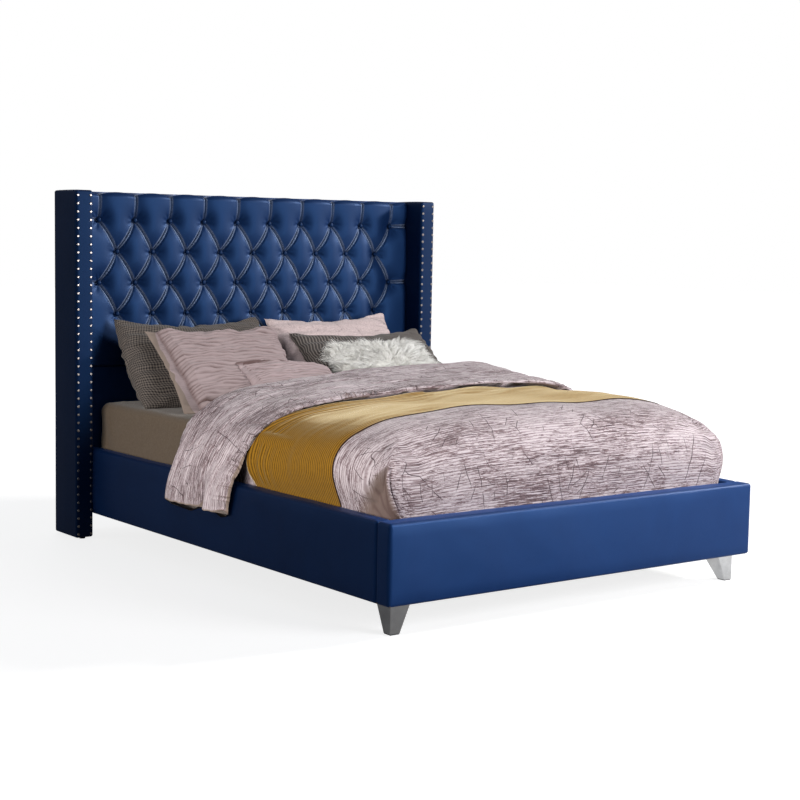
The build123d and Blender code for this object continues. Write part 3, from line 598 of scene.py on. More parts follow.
def bands(tree, place, scale, along, more):
    """Wavy stripes that follow each other along an axis; more gives the node's other inputs."""
    wires = {"Vector": place, "Scale": scale, **more}
    return add_node(tree, "TexWave", wires, wave_type="BANDS", bands_direction=along).outputs["Fac"]


wood, given = new_group(
    "sawn_wood", [("Place", "Vector"), ("Ring scale", "Float")], ["Rings", "Pores"]
)
wavy = {"Distortion": 6.0, "Detail": 3.0, "Detail Scale": 1.2}
rings = bands(wood, given["Place"], given["Ring scale"], "Z", wavy)
pores = noise(wood, given["Place"], 160.0, {"Detail": 4.0})
fill_group(wood, rings, pores)


def timber_finish(name, pale, dark, stretch, ring_scale):
    """Wood whose grain runs along the axis that the stretch shortens."""
    made = shading(name, pale, 0.6)
    tree = made.node_tree
    place = add_node(tree, "TexCoord", {}).outputs["Object"]
    along = add_node(tree, "Mapping", {"Vector": place, "Scale": stretch}).outputs[0]
    cut = add_node(tree, "Group", {"Place": along, "Ring scale": ring_scale}, node_tree=wood).outputs
    streaked = blend(tree, graded(tree, cut["Rings"], 0.1, 0.9), pale, dark)
    worn = blend(tree, graded(tree, cut["Pores"], 0.62, 0.72, 0.0, 0.5), streaked, dark)
    return surface(made, worn, 0.2, 0.0005, cut["Pores"])


pine = ((0.60, 0.42, 0.24), (0.42, 0.26, 0.13))
finish_nodes(
    timber_finish("pine_across", *pine, (0.08, 1, 1), 14.0), "footboard_core", "headboard_top_rail",
    "headboard_middle_rail", "headboard_bottom_rail", "corner_block_left", "corner_block_right",
)
finish_nodes(
    timber_finish("pine_along", *pine, (1, 0.08, 1), 14.0), "side_rail_core_left",
    "side_rail_core_right", "slat_ledge_left", "slat_ledge_right", "centre_beam",
)
finish_nodes(
    timber_finish("pine_up", *pine, (1, 1, 0.08), 14.0), "headboard_stile_left",
    "headboard_stile_right", "wing_core_left", "wing_core_right",
)
birch, plywood = ((0.70, 0.54, 0.35), (0.58, 0.41, 0.24)), ((0.62, 0.46, 0.29), (0.46, 0.31, 0.18))
finish_nodes(timber_finish("birch_slats", *birch, (0.05, 1, 1), 9.0), "slats")
finish_nodes(timber_finish("plywood_face", *plywood, (0.15, 1, 0.6), 7.0), "headboard_panel")


# ---- Metal and plastic fittings
# Polished front legs and domed nails, black pressed-steel brackets and hangers, zinc-plated
# bolts, and black plastic glides, centre legs and levelling feet.
wear, given = new_group(
    "handling_marks", [("Place", "Vector"), ("Size", "Float")], ["Marks"]
)
marks = noise(wear, given["Place"], given["Size"], {"Detail": 6.0, "Roughness": 0.7})
fill_group(wear, graded(wear, marks, 0.35, 0.75))


def fitting_finish(name, colour, metallic, smooth, dull, size, bump_height):
    """Metal or plastic that handling has dulled and darkened in places."""
    made = shading(name, colour, smooth, Metallic=metallic)
    tree = made.node_tree
    place = add_node(tree, "TexCoord", {}).outputs["Object"]
    worn = add_node(tree, "Group", {"Place": place, "Size": size}, node_tree=wear).outputs["Marks"]
    shade = blend(tree, worn, colour, tuple(0.82 * c for c in colour))
    return surface(made, shade, 0.15, bump_height, worn, graded(tree, worn, 0, 1, smooth, dull))


finish_nodes(
    fitting_finish("polished_chrome", (0.80, 0.81, 0.83), 1.0, 0.07, 0.16, 25.0, 0.0001),
    "front_leg_left", "front_leg_right",
)
finish_nodes(
    fitting_finish("nail_chrome", (0.36, 0.32, 0.30), 1.0, 0.30, 0.44, 300.0, 0.0001),
    "wing_nails_left", "wing_nails_right",
)
finish_nodes(
    fitting_finish("black_steel", (0.022, 0.022, 0.024), 0.0, 0.38, 0.55, 200.0, 0.0003),
    "corner_brackets", "beam_hangers", "leg_plates",
)
finish_nodes(
    fitting_finish("zinc_plate", (0.60, 0.60, 0.58), 1.0, 0.30, 0.48, 120.0, 0.0002),
    "bracket_bolts", "wing_bolts", "leg_bolts", "hanger_screws", "centre_leg_bolts",
)
finish_nodes(
    fitting_finish("black_plastic", (0.028, 0.028, 0.030), 0.0, 0.42, 0.60, 350.0, 0.0003),
    "wing_glides", "leg_glides", *(f"centre_leg_{number}" for number in (1, 2, 3)),
    *(f"levelling_foot_{number}" for number in (1, 2, 3)),
)


# ---- Mattress
# A sprung mattress in pale ticking with a quilted top. Only its underside shows, between the
# slats, because the fitted sheet covers the rest.
weave, given = new_group(
    "plain_weave", [("Layout", "Vector"), ("Threads", "Float")], ["Thread", "Slub"]
)
over, under = (
    bands(weave, given["Layout"], given["Threads"], way, {"Distortion": 0.4}) for way in "XY"
)
slub = noise(weave, given["Layout"], 130.0, {"Detail": 4.0})
fill_group(weave, maths(weave, "MULTIPLY", over, under), slub)


def woven_cloth(name, dark, light, threads, coordinate):
    """Plain cloth: its threads raise the surface, its slubs vary its tone, and painted shade darkens
    its marked creases.
    """
    made = shading(name, dark, 0.85, Sheen_Weight=0.15, Sheen_Roughness=0.5, Specular_IOR_Level=0.2)
    tree = made.node_tree
    layout = add_node(tree, "TexCoord", {}).outputs[coordinate]
    cloth = add_node(tree, "Group", {"Layout": layout, "Threads": threads}, node_tree=weave).outputs
    slubbed = blend(tree, graded(tree, cloth["Slub"], 0.3, 0.7), dark, light)
    creased = blend(tree, marked(tree, "painted_crease_shade"), slubbed, tuple(0.35 * c for c in dark))
    return surface(made, creased, 0.4, 0.0003, cloth["Thread"])


mattress_low, mattress_high = (-0.762, -1.022, 0.300), (0.762, 1.010, 0.548)
mattress = rounded_block("mattress", mattress_low, mattress_high, 0.034, 0.06)
bpy.ops.object.shade_smooth()
ticking = woven_cloth(
    "mattress_ticking", (0.62, 0.60, 0.56), (0.72, 0.70, 0.66), 350.0, "Object"
)
dress(mattress, ticking, "mattress")


# ---- Fitted sheet
# Taupe cotton stretched over the mattress, with a gathered corner at each end. It shows
# between the pillows and the left rail, where its corner gathers crease the side.
def thicken(piece, thickness):
    """Gives a sheet its thickness, inwards."""
    pick(piece)
    wall = piece.modifiers.new("cloth", "SOLIDIFY")
    wall.thickness, wall.offset = thickness, -1
    bpy.ops.object.modifier_apply(modifier="cloth")


sheet_low, sheet_high, sheet_round = (-0.7638, -1.0238, 0.304), (0.7638, 1.0118, 0.5498), 0.035
fitted = rounded_block("fitted_sheet", sheet_low, sheet_high, sheet_round, 0.02)
points = points_of(fitted)
corner_gather = np.zeros(len(points))
for corner_y in (sheet_low[1], sheet_high[1]):
    for corner_x in (sheet_low[0], sheet_high[0]):
        reach = np.hypot(points[:, 0] - corner_x, points[:, 1] - corner_y)
        corner_gather += np.exp(-((reach - 0.06) / 0.09) ** 2)
creases = ripple(points * np.array([1, 1, 0.35]), ((0.035, 1.0), (0.09, 0.8)), 21)
drag = ripple(points * np.array([0.5, 1, 1]), ((0.22, 1.0),), 22)
away = points - np.clip(points, np.array(sheet_low) + 0.05, np.array(sheet_high) - 0.05)
away /= np.maximum(np.linalg.norm(away, axis=1), 1e-6)[:, None]
upper = np.clip((points[:, 2] - 0.31) / 0.05, 0, 1)
lift = (0.0022 * creases * corner_gather + 0.0010 * drag + 0.0020) * upper
highest = np.where(points[:, 1] < 0.2, 0.0026, 0.02)  # less where the duvet lies on it
points += away * np.clip(lift, 0, highest)[:, None]
place_points(fitted, points)
bpy.ops.object.mode_set(mode="EDIT")
bpy.ops.mesh.select_mode(type="FACE")
bpy.ops.mesh.select_all(action="DESELECT")
bpy.ops.object.mode_set(mode="OBJECT")
for face in fitted.data.polygons:
    face.select = face.center.z < sheet_low[2] + 0.03 and face.normal.z < -0.2
bpy.ops.object.mode_set(mode="EDIT")
bpy.ops.mesh.delete(type="FACE")
bpy.ops.object.mode_set(mode="OBJECT")
thicken(fitted, 0.0012)
bpy.ops.object.shade_smooth()
sheet_cotton = woven_cloth(
    "taupe_cotton", (0.084, 0.059, 0.039), (0.102, 0.075, 0.052), 420.0, "Object"
)
dress(fitted, sheet_cotton, "fitted_sheet")


# ---- Duvet
# A filled cotton cover, crowned over the mattress and tucked inside the rails. At each foot
# corner the end is folded round the side, and the spare cloth is pushed in behind the fold.
def smooth_path(points, where):
    """A smooth curve through points, at the given places counted in points."""
    points = np.array(points, dtype=float)
    start = np.clip(np.floor(where).astype(int), 0, len(points) - 2)
    share = (where - start)[:, None]
    before, first = points[np.maximum(start - 1, 0)], points[start]
    second, after = points[start + 1], points[np.minimum(start + 2, len(points) - 1)]
    pull_in, pull_out = (second - before) / 2, (after - first) / 2
    square, cube = share ** 2, share ** 3
    return (
        (2 * cube - 3 * square + 1) * first + (cube - 2 * square + share) * pull_in
        + (3 * square - 2 * cube) * second + (cube - square) * pull_out
    )


def evenly(points, first, last):
    """A function that gives the curve between two of its points, at shares of its length."""
    where = np.linspace(first, last, 1200)
    dense = smooth_path(points, where)
    reach = np.concatenate([[0], np.cumsum(np.linalg.norm(np.diff(dense, axis=0), axis=1))])

    def at(share):
        """Points at shares of the curve's length."""
        wanted = np.clip(share, 0, 1) * reach[-1]
        return np.stack([np.interp(wanted, reach, dense[:, k]) for k in range(dense.shape[1])], -1)

    return at, reach[-1]


resting_top = 0.5510
core_low = np.array([*sheet_low[:2], 0.0]) + sheet_round
core_high = np.array([*sheet_high[:2], resting_top]) - sheet_round


def off_mattress(points, gap):
    """Moves points straight out from the sheeted mattress, to leave the gap at least."""
    core = np.clip(points, core_low, core_high)
    out = points - core
    length = np.linalg.norm(out, axis=1)
    within = np.nonzero(length < 1e-9)[0]
    room = np.concatenate([points[within] - core_low, core_high - points[within]], axis=1)
    room[:, 2] = 9  # never out through the base
    nearest = np.argmin(room, axis=1)
    faces = np.concatenate([-np.eye(3), np.eye(3)])[nearest]
    core[within] += faces * room[np.arange(len(within)), nearest][:, None]
    out[within], length[within] = 1e-3 * faces, 1e-3
    return core + out / length[:, None] * np.maximum(length, sheet_round + gap)[:, None]


def onto_mattress(points, gap):
    """The points of the sheeted mattress that lie nearest, with the gap between."""
    moved = off_mattress(points, gap)
    core = np.clip(moved, core_low, core_high)
    out = moved - core
    return core + out / np.linalg.norm(out, axis=1)[:, None] * (sheet_round + gap)


def surface_normals(points, columns, rows):
    """Outward normals of a net of points that is ordered row by row."""
    net = points.reshape(rows, columns, 3)
    normal = np.cross(np.gradient(net, axis=1), np.gradient(net, axis=0))
    normal /= np.maximum(np.linalg.norm(normal, axis=2), 1e-9)[..., None]
    return -normal.reshape(-1, 3)


def double_up(piece, inner):
    """Gives a net of cloth an inner face at the given points, and closes its edges."""
    outer = points_of(piece)
    thicken(piece, 0.002)
    place_points(piece, np.concatenate([outer, inner]))
    turn_outwards(piece)


def eased(share):
    """A share held to 0..1, with a gentle start and end."""
    share = np.clip(share, 0, 1)
    return share * share * (3 - 2 * share)


duvet_section = [
    (-0.7720, 0.318), (-0.7745, 0.367), (-0.793, 0.425), (-0.8035, 0.476), (-0.796, 0.525),
    (-0.765, 0.570), (-0.720, 0.600), (-0.660, 0.622), (-0.550, 0.647), (-0.353, 0.668),
    (-0.150, 0.674), (0.050, 0.675), (0.200, 0.675), (0.349, 0.674), (0.500, 0.669), (0.600, 0.659),
    (0.685, 0.639), (0.745, 0.609), (0.782, 0.565), (0.799, 0.510), (0.801, 0.445), (0.7775, 0.375),
    (0.7720, 0.318),
]
duvet_length = [
    (0.2775, 0.672), (0.10, 0.674), (-0.10, 0.674), (-0.30, 0.674), (-0.50, 0.674), (-0.66, 0.673),
    (-0.78, 0.669), (-0.86, 0.660), (-0.92, 0.645), (-0.965, 0.623), (-1.000, 0.592),
    (-1.025, 0.552), (-1.0375, 0.500), (-1.0400, 0.440), (-1.0360, 0.385), (-1.0335, 0.345),
    (-1.0335, 0.318),
]
duvet_hem, crown = 0.318, 0.675
left_inner, right_inner, foot_inner = 7, 16, 8
left_side, left_reach = evenly(duvet_section[:left_inner + 1][::-1], 0, left_inner)
right_side, right_reach = evenly(duvet_section[right_inner:], 0, 6)
middle_part, middle_reach = evenly(duvet_section, left_inner, right_inner)
body_part, body_reach = evenly(duvet_length, 0, foot_inner)
foot_part, foot_reach = evenly(duvet_length[foot_inner:], 0, 8)
fold_heights, fold_angles = [0.318, 0.365, 0.46, 0.50], [78.0, 70.0, 52.0, 45.0]


def duvet_form(across, along):
    """Points of the duvet: across from -2 to 2 and along from 0 to 2, past 1 down its sides."""
    on_left = across < 0
    down_side = np.clip(np.abs(across) - 1, 0, 1)
    down_foot = np.clip(along - 1, 0, 1)
    depth = np.maximum(down_side, down_foot)
    ratio = np.minimum(down_side, down_foot) / np.maximum(depth, 1e-9)
    angle = np.where(down_side >= down_foot, 45 * ratio, 90 - 45 * ratio)
    middle = middle_part((np.clip(across, -1, 1) + 1) / 2)
    body = body_part(np.clip(along, 0, 1))
    side = np.where(on_left[:, None], left_side(depth), right_side(depth))
    foot = foot_part(depth)
    span = crown - duvet_hem
    at_side, at_foot = down_side > 0, down_foot > 0
    corner = at_side & at_foot
    x = np.where(at_side, side[:, 0], middle[:, 0])
    y = np.where(at_foot, foot[:, 0], body[:, 0])
    z_across = np.where(at_side, side[:, 1], middle[:, 1])
    z_along = np.where(at_foot, foot[:, 1], body[:, 1])
    z = duvet_hem + (z_across - duvet_hem) * (z_along - duvet_hem) / span
    z_side = duvet_hem + (side[:, 1] - duvet_hem) * (duvet_length[foot_inner][1] - duvet_hem) / span
    z_foot = duvet_hem + (foot[:, 1] - duvet_hem) * (duvet_section[left_inner][1] - duvet_hem) / span
    z_corner = z_side + (z_foot - z_side) * angle / 90
    lean = np.interp(z_corner, fold_heights, fold_angles) - 45
    angle = np.radians(angle + lean * (1 - np.abs(angle - 45) / 45))
    inner_x = np.where(on_left, duvet_section[left_inner][0], duvet_section[right_inner][0])
    inner_y = duvet_length[foot_inner][0]
    squareness = 2 / 5
    x_corner = inner_x + (side[:, 0] - inner_x) * np.cos(angle) ** squareness
    y_corner = inner_y + (foot[:, 0] - inner_y) * np.sin(angle) ** squareness
    points = np.stack([
        np.where(corner, x_corner, x), np.where(corner, y_corner, y), np.where(corner, z_corner, z),
    ], 1)
    pressed = eased((points[:, 1] + 0.76) / 0.50) * np.clip((points[:, 2] - 0.40) / 0.12, 0, 1)
    points[:, 2] -= 0.030 * pressed * np.clip((0.25 - points[:, 0]) / 0.35, 0, 1)
    points[:, 0] += 0.014 * pressed * np.clip((-0.60 - points[:, 0]) / 0.12, 0, 1)
    across_m = np.clip(across, -1, 1) * middle_reach / 2
    across_m += np.sign(across) * down_side * np.where(on_left, left_reach, right_reach)
    along_m = np.clip(along, 0, 1) * body_reach + down_foot * foot_reach
    return points, across_m, along_m


def corner_fold(points, across, along):
    """The cloth pushed in behind each foot corner's fold, the rolled edge of the fold, and painted
    shade: the hollow's share of taupe, and darkening in the hollow and the groove.
    """
    down_side, down_foot = np.abs(across) - 1, along - 1
    behind = (down_side > 0) & (down_side > down_foot) & (across < 0)
    heights = np.array([0.318, 0.387, 0.446, 0.50, 0.537])
    fold_y = np.interp(points[:, 2], [0.365, 0.46, 0.54], [-1.040, -1.036, -1.022])
    hollow = np.interp(points[:, 2], heights, [0.215, 0.170, 0.112, 0.055, 0.014])
    share = np.clip((points[:, 1] - fold_y) / hollow, 0, 1)
    under = np.clip((0.540 - points[:, 2]) / 0.075, 0, 1) ** 0.7
    depth = 0.044 * (1 - share) ** 0.9 * under * behind
    spokes = np.sin(np.arctan2(points[:, 2] - 0.33, points[:, 1] + 1.05) * 15)
    depth += 0.0034 * spokes * behind * under * np.sin(np.pi * share) ** 0.5 * (share < 1)
    beside = down_foot - down_side
    in_front = under * ((beside >= 0) & (down_side > 0) & (across < 0))
    lip = np.exp(-((beside - 0.03) / 0.035) ** 2) - 0.45 * np.exp(-((beside - 0.105) / 0.022) ** 2)
    groove = in_front * np.exp(-((beside - 0.100) / 0.016) ** 2)
    depth = np.minimum(depth, 0.034)
    # Painted shade: how far the hollow is painted in the lining's taupe, and how dark, most near the
    # fold, in its spokes and in the groove.
    tucked = np.clip(3.0 * (1 - share), 0, 1) * under * behind
    dark = tucked * (0.70 + 0.25 * np.clip(spokes, 0, 1) ** 2 + 0.4 * np.exp(-share / 0.15))
    return depth, 0.0110 * in_front * lip, tucked, np.clip(dark + 0.65 * groove, 0, 0.95)


def duvet_folds(points, across, along):
    """Soft unevenness of the filling: broad swells, and creases that run across the bed."""
    layout = np.stack([across * 0.35, along], 1)
    swells = ripple(layout * np.array([1.6, 1.0]), ((0.42, 1.0), (0.20, 0.55)), 31)
    creases = ripple(layout * np.array([0.5, 1.0]), ((0.075, 1.0), (0.035, 0.45)), 32)
    where = np.clip(ripple(layout, ((0.5, 1.0),), 33) * 0.8 + 0.35, 0, 1)
    settled = np.clip((points[:, 2] - 0.38) / 0.10, 0, 1)
    return (0.0042 * swells + 0.0018 * creases * where) * settled


skirt_cells, middle_cells, body_cells = 78, 112, 98
across_line = np.concatenate([
    np.linspace(-2, -1, skirt_cells + 1)[:-1], np.linspace(-1, 1, middle_cells + 1),
    np.linspace(1, 2, skirt_cells + 1)[1:],
])
along_line = np.concatenate([
    np.linspace(0, 1, body_cells + 1), np.linspace(1, 2, skirt_cells + 1)[1:],
])
duvet_columns, duvet_rows = len(across_line), len(along_line)
across, along = np.tile(across_line, duvet_rows), np.repeat(along_line, duvet_columns)
points, across_m, along_m = duvet_form(across, along)
out = surface_normals(points, duvet_columns, duvet_rows)
pushed_in, lip, tucked, dark = corner_fold(points, across, along)
level_out = out * np.array([1, 1, 0])
level_out /= np.maximum(np.linalg.norm(level_out, axis=1), 1e-6)[:, None]
points += out * duvet_folds(points, across_m, along_m)[:, None]
points += level_out * (lip - pushed_in)[:, None]
duvet_gap = 0.0055
points = off_mattress(points, duvet_gap)
duvet, column, row = cloth_grid("duvet", duvet_columns, duvet_rows)
order = row * duvet_columns + column
place_points(duvet, points[order])
lay_out(duvet, across_m[order], along_m[order])
# The hollows behind the corner folds are painted taupe and darker, as shade.
mark_points(duvet, "lining_and_hollow_shade", 0.9 * tucked[order])
mark_points(duvet, "painted_crease_shade", dark[order])
double_up(duvet, onto_mattress(points[order], 0.001))

# Generic woven print of the duvet: fine streaks across the bed, and loose scratched strokes
woven_print, given = new_group(
    "streaked_print", [("Layout", "Vector")], ["Streaks", "Strokes", "Clouds", "Ribs"]
)
printed_at = given["Layout"]
parts = add_node(woven_print, "SeparateXYZ", {0: printed_at}).outputs
rows_per_metre, streaks_per_metre, row_shift = 560.0, 13.0, 7.37
thread_row = maths(woven_print, "MULTIPLY", parts["Y"], rows_per_metre)
row_seed = maths(woven_print, "MULTIPLY", maths(woven_print, "FLOOR", thread_row), row_shift)
along_row = maths(woven_print, "MULTIPLY", parts["X"], streaks_per_metre)
by_row = add_node(woven_print, "CombineXYZ", {0: along_row, 1: row_seed}).outputs[0]
streaks = noise(woven_print, by_row, 1.0, {"Detail": 4.0, "Roughness": 0.65})
fine_ribs = {"Distortion": 0.8, "Detail": 1.0, "Detail Scale": 2.0}
ribbing = bands(woven_print, printed_at, 29.0, "Y", fine_ribs)
drifts = add_node(
    woven_print, "Mapping", {"Vector": printed_at, "Scale": (2.6, 4.5, 1.0)}
).outputs[0]
clouds = noise(woven_print, drifts, 1.0, {"Detail": 5.0, "Roughness": 0.65})
wander = add_node(
    woven_print, "TexNoise", {"Vector": printed_at, "Scale": 5.0, "Detail": 3.0}
).outputs["Color"]
bent = add_node(
    woven_print, "VectorMath", {0: wander, 1: (0.055, 0.055, 0.0)}, operation="MULTIPLY"
).outputs[0]
moved = add_node(woven_print, "VectorMath", {0: printed_at, 1: bent}, operation="ADD").outputs[0]
strokes = 0.0
for lean, offset, spacing, least in (
    (0.22, 0.0, 6.5, 0.56), (-0.30, 3.0, 4.5, 0.57), (0.75, 7.0, 5.5, 0.60),
    (-0.85, 11.0, 8.0, 0.61), (1.50, 5.0, 7.0, 0.62),
):
    leaning = add_node(woven_print, "Mapping", {
        "Vector": moved, "Location": (offset, 0, 0), "Rotation": (0, 0, lean),
    }).outputs[0]
    loose = {"Distortion": 0.7, "Detail": 1.0, "Detail Scale": 0.6}
    hatching = bands(woven_print, leaning, spacing, "X", loose)
    elsewhere = add_node(woven_print, "Mapping", {
        "Vector": printed_at, "Location": (offset, 2 * offset, 0), "Scale": (6.0, 4.5, 1.0),
    }).outputs[0]
    broken = noise(woven_print, elsewhere, 1.0, {"Detail": 4.0})
    width = 0.0004 * spacing ** 1.5
    inked = graded(woven_print, hatching, 1 - 2.2 * width, 1 - 0.6 * width)
    line = maths(woven_print, "MULTIPLY", inked, graded(woven_print, broken, least, least + 0.03))
    strokes = maths(woven_print, "MAXIMUM", strokes, line)
fill_group(woven_print, streaks, strokes, clouds, ribbing)

# The cotton itself: the print outside, a plain lining inside, and ribs that raise both. The lining's
# taupe is also painted into the foot corners' hollows, as shade.
pale, dusky, ink = (0.53, 0.46, 0.485), (0.185, 0.128, 0.138), (0.036, 0.018, 0.023)
duvet_cotton = shading(
    "streaked_duvet_cotton", pale, 0.8, Sheen_Weight=0.10, Sheen_Roughness=0.5,
    Specular_IOR_Level=0.25,
)
tree = duvet_cotton.node_tree
layout = add_node(tree, "UVMap", {}).outputs[0]
drawn_on = add_node(tree, "Group", {"Layout": layout}, node_tree=woven_print).outputs
density = graded(tree, drawn_on["Clouds"], 0.34, 0.66, -0.055, 0.060)
raised = maths(tree, "ADD", drawn_on["Streaks"], density)
streaked = blend(tree, graded(tree, raised, 0.49, 0.54), pale, dusky)
# Painted shade in the grooves between the raised ribs.
ribbed = blend(tree, graded(tree, drawn_on["Ribs"], 0.05, 0.35, 0.6, 0.0), streaked, dusky)
fine = blend(tree, graded(tree, raised, 0.570, 0.600, 0.0, 0.65), ribbed, ink)
printed = blend(tree, graded(tree, drawn_on["Strokes"], 0, 1, 0.0, 0.85), fine, ink)
# The plain lining's taupe, also painted into the corner hollows as shade.
lined = blend(tree, marked(tree, "lining_and_hollow_shade"), printed, (0.27, 0.205, 0.170))
# Painted shade in the marked creases, hollows and grooves.
creased = blend(tree, marked(tree, "painted_crease_shade"), lined, (0.10, 0.062, 0.055))
surface(duvet_cotton, creased, 0.35, 0.0012, drawn_on["Ribs"])
dress(duvet, duvet_cotton, "duvet")


# ---- Throw
# A mustard knitted throw laid across the duvet and tucked in at both rails. It has fine ribs
# along its length and a bound edge towards the foot.
throw_columns, throw_rows, throw_width, throw_gap, throw_thickness = 300, 92, 0.56, 0.0075, 0.0024
across_throw = np.interp(np.linspace(0, 1, throw_columns), [0, 0.17, 0.83, 1], [-2, -1, 1, 2])
across = np.tile(across_throw, throw_rows)
share = np.repeat(np.linspace(0, 1, throw_rows), throw_columns)
side_drop = np.clip(np.abs(across) - 1.25, 0, 0.75) / 0.75
head_edge = -0.200 - 0.050 * side_drop * (across < 0)
foot_edge = -0.7595 - 0.012 * np.sin(across * 2.2)
wanted_y = head_edge + share * (foot_edge - head_edge)
body_shares = np.linspace(0, 1, 900)
along = np.interp(-wanted_y, -body_part(body_shares)[:, 0], body_shares)
points, across_m, along_m = duvet_form(across, along)
out = surface_normals(points, throw_columns, throw_rows)
rise = duvet_folds(points, across_m, along_m) + 0.0030
near_fold = np.clip(1 - (head_edge - points[:, 1]) / 0.20, 0, 1)
low_left = np.clip((0.675 - points[:, 2]) / 0.07, 0, 1) * (points[:, 0] < 0)
leaning = (points[:, 1] - 0.16 * (points[:, 2] - 0.36)) * 2 * np.pi / 0.052
pulled = (0.5 + 0.5 * np.sin(leaning + 1.3 * np.sin(leaning * 0.31))) ** 1.6
above_rail = np.clip((points[:, 2] - 0.37) / 0.05, 0, 1)
rise += 0.0130 * near_fold ** 1.4 * low_left * pulled * above_rail
points = off_mattress(points + out * rise[:, None], throw_gap)
throw, column, row = cloth_grid("throw_blanket", throw_columns, throw_rows)
order = row * throw_columns + column
place_points(throw, points[order])
lay_out(throw, across_m[order], (share * throw_width)[order])
double_up(throw, (points - out * throw_thickness)[order])

knit = shading(
    "mustard_knit", (0.50, 0.30, 0.045), 0.9, Sheen_Weight=0.42, Sheen_Roughness=0.35,
    Sheen_Tint=(1.0, 0.88, 0.58, 1), Specular_IOR_Level=0.15,
)
tree = knit.node_tree
layout = add_node(tree, "UVMap", {}).outputs[0]
ribs = bands(tree, layout, 27.0, "Y", {"Distortion": 0.7, "Detail": 2.0, "Detail Scale": 4.0})
fuzz = noise(tree, layout, 60.0, {"Detail": 6.0, "Roughness": 0.7})
# Painted shade in the grooves between the raised ribs.
between = graded(tree, ribs, 0.05, 0.65, 0.9, 0.0)
ribbed = blend(tree, between, (0.27, 0.130, 0.009), (0.035, 0.014, 0.001))
mottled = blend(tree, graded(tree, fuzz, 0.35, 0.7, 0.0, 0.25), ribbed, (0.33, 0.17, 0.018))
along_cloth = add_node(tree, "SeparateXYZ", {0: layout}).outputs["Y"]
bound = blend(tree, graded(tree, along_cloth, 0.5535, 0.5555), mottled, (0.035, 0.018, 0.012))
surface(knit, bound, 0.6, 0.0014, ribs)
dress(throw, knit, "throw_blanket")


# ---- Turned-back end of the duvet
# The head end of the duvet, folded back over the throw. On the left it slides off the bed and
# hangs outside the rail in two soft lobes, where the plain lining shows at the hem.
def surface_tree(piece):
    """A piece's faces, ready to be struck by rays."""
    polygons = [tuple(face.vertices) for face in piece.data.polygons]
    return BVHTree.FromPolygons([vertex.co.copy() for vertex in piece.data.vertices], polygons)


fold_head = [
    (-0.868, 0.262), (-0.874, 0.300), (-0.876, 0.350), (-0.871, 0.400), (-0.854, 0.450),
    (-0.826, 0.500), (-0.786, 0.545), (-0.738, 0.583), (-0.680, 0.614), (-0.600, 0.643),
    (-0.500, 0.666), (-0.320, 0.688), (-0.150, 0.701), (0.080, 0.715), (0.300, 0.724),
    (0.420, 0.727), (0.550, 0.727), (0.660, 0.722), (0.745, 0.708), (0.802, 0.674), (0.828, 0.618),
    (0.838, 0.545), (0.836, 0.455), (0.820, 0.378),
]
fold_foot = [
    (-0.866, 0.262), (-0.872, 0.300), (-0.872, 0.350), (-0.864, 0.400), (-0.844, 0.442),
    (-0.826, 0.486), (-0.792, 0.528), (-0.744, 0.566), (-0.682, 0.599), (-0.600, 0.628),
    (-0.500, 0.650), (-0.320, 0.672), (-0.150, 0.684), (0.080, 0.693), (0.300, 0.696),
    (0.420, 0.695), (0.550, 0.691), (0.660, 0.680), (0.740, 0.656), (0.796, 0.616), (0.822, 0.565),
    (0.832, 0.503), (0.831, 0.436), (0.820, 0.378),
]
fold_under = [
    (-0.8405, 0.236), (-0.8405, 0.292), (-0.8405, 0.345), (-0.8385, 0.374), (-0.822, 0.404),
    (-0.814, 0.450), (-0.805, 0.500), (-0.765, 0.555), (-0.695, 0.586), (-0.610, 0.6120),
    (-0.500, 0.6300), (-0.320, 0.6460), (-0.150, 0.655), (0.080, 0.668), (0.300, 0.6765),
    (0.420, 0.674), (0.550, 0.668), (0.645, 0.654), (0.722, 0.630), (0.774, 0.590), (0.800, 0.540),
    (0.811, 0.485), (0.808, 0.430), (0.791, 0.372),
]
fold_columns, fold_top_rows, fold_bottom_rows, fold_width = 700, 100, 14, 0.555
top_share = np.interp(np.linspace(0, 1, fold_top_rows), [0, 0.10, 0.84, 1], [0, 0.035, 0.88, 1])
bottom_share = np.linspace(1, 0, fold_bottom_rows)
ring_share = np.concatenate([top_share, bottom_share[1:]])
is_top = np.concatenate([np.ones(fold_top_rows), np.zeros(fold_bottom_rows - 1)])
edge_foot, edge_head = 0.050, 0.11
roundness = np.minimum(1, np.minimum(ring_share / edge_foot, (1 - ring_share) / edge_head))
roundness = np.sqrt(np.clip(1 - (1 - roundness) ** 2, 0, 1))
ring_level = np.where(is_top > 0, 0.5 + 0.5 * roundness, 0.5 - 0.5 * roundness)
fold_rows = len(ring_share)
where = np.linspace(0, len(fold_head) - 1, 3000)
dense = smooth_path(fold_head, where)
reach = np.concatenate([[0], np.cumsum(np.linalg.norm(np.diff(dense, axis=0), axis=1))])
fold_m = np.linspace(0, reach[-1], fold_columns)
at_column = np.interp(fold_m, reach, where)
head_line, foot_line, under_line = (
    smooth_path(line, at_column) for line in (fold_head, fold_foot, fold_under)
)
share = np.repeat(ring_share, fold_columns)
level = np.repeat(ring_level, fold_columns)
top_side = np.repeat(is_top, fold_columns) > 0
head_row, foot_row = np.tile(head_line, (fold_rows, 1)), np.tile(foot_line, (fold_rows, 1))
mix = eased(share)[:, None]
upper_face = foot_row * (1 - mix) + head_row * mix
lower_face = np.tile(under_line, (fold_rows, 1))
drop = eased((share - 0.885) / 0.08)
bedding_rest = 0.5535
resting = np.minimum(lower_face[:, 1], bedding_rest)
dropped = lower_face[:, 1] * (1 - drop) + resting * drop
over_mattress = np.abs(lower_face[:, 0]) < 0.775
lower_face[:, 1] = np.where(over_mattress, dropped, lower_face[:, 1])
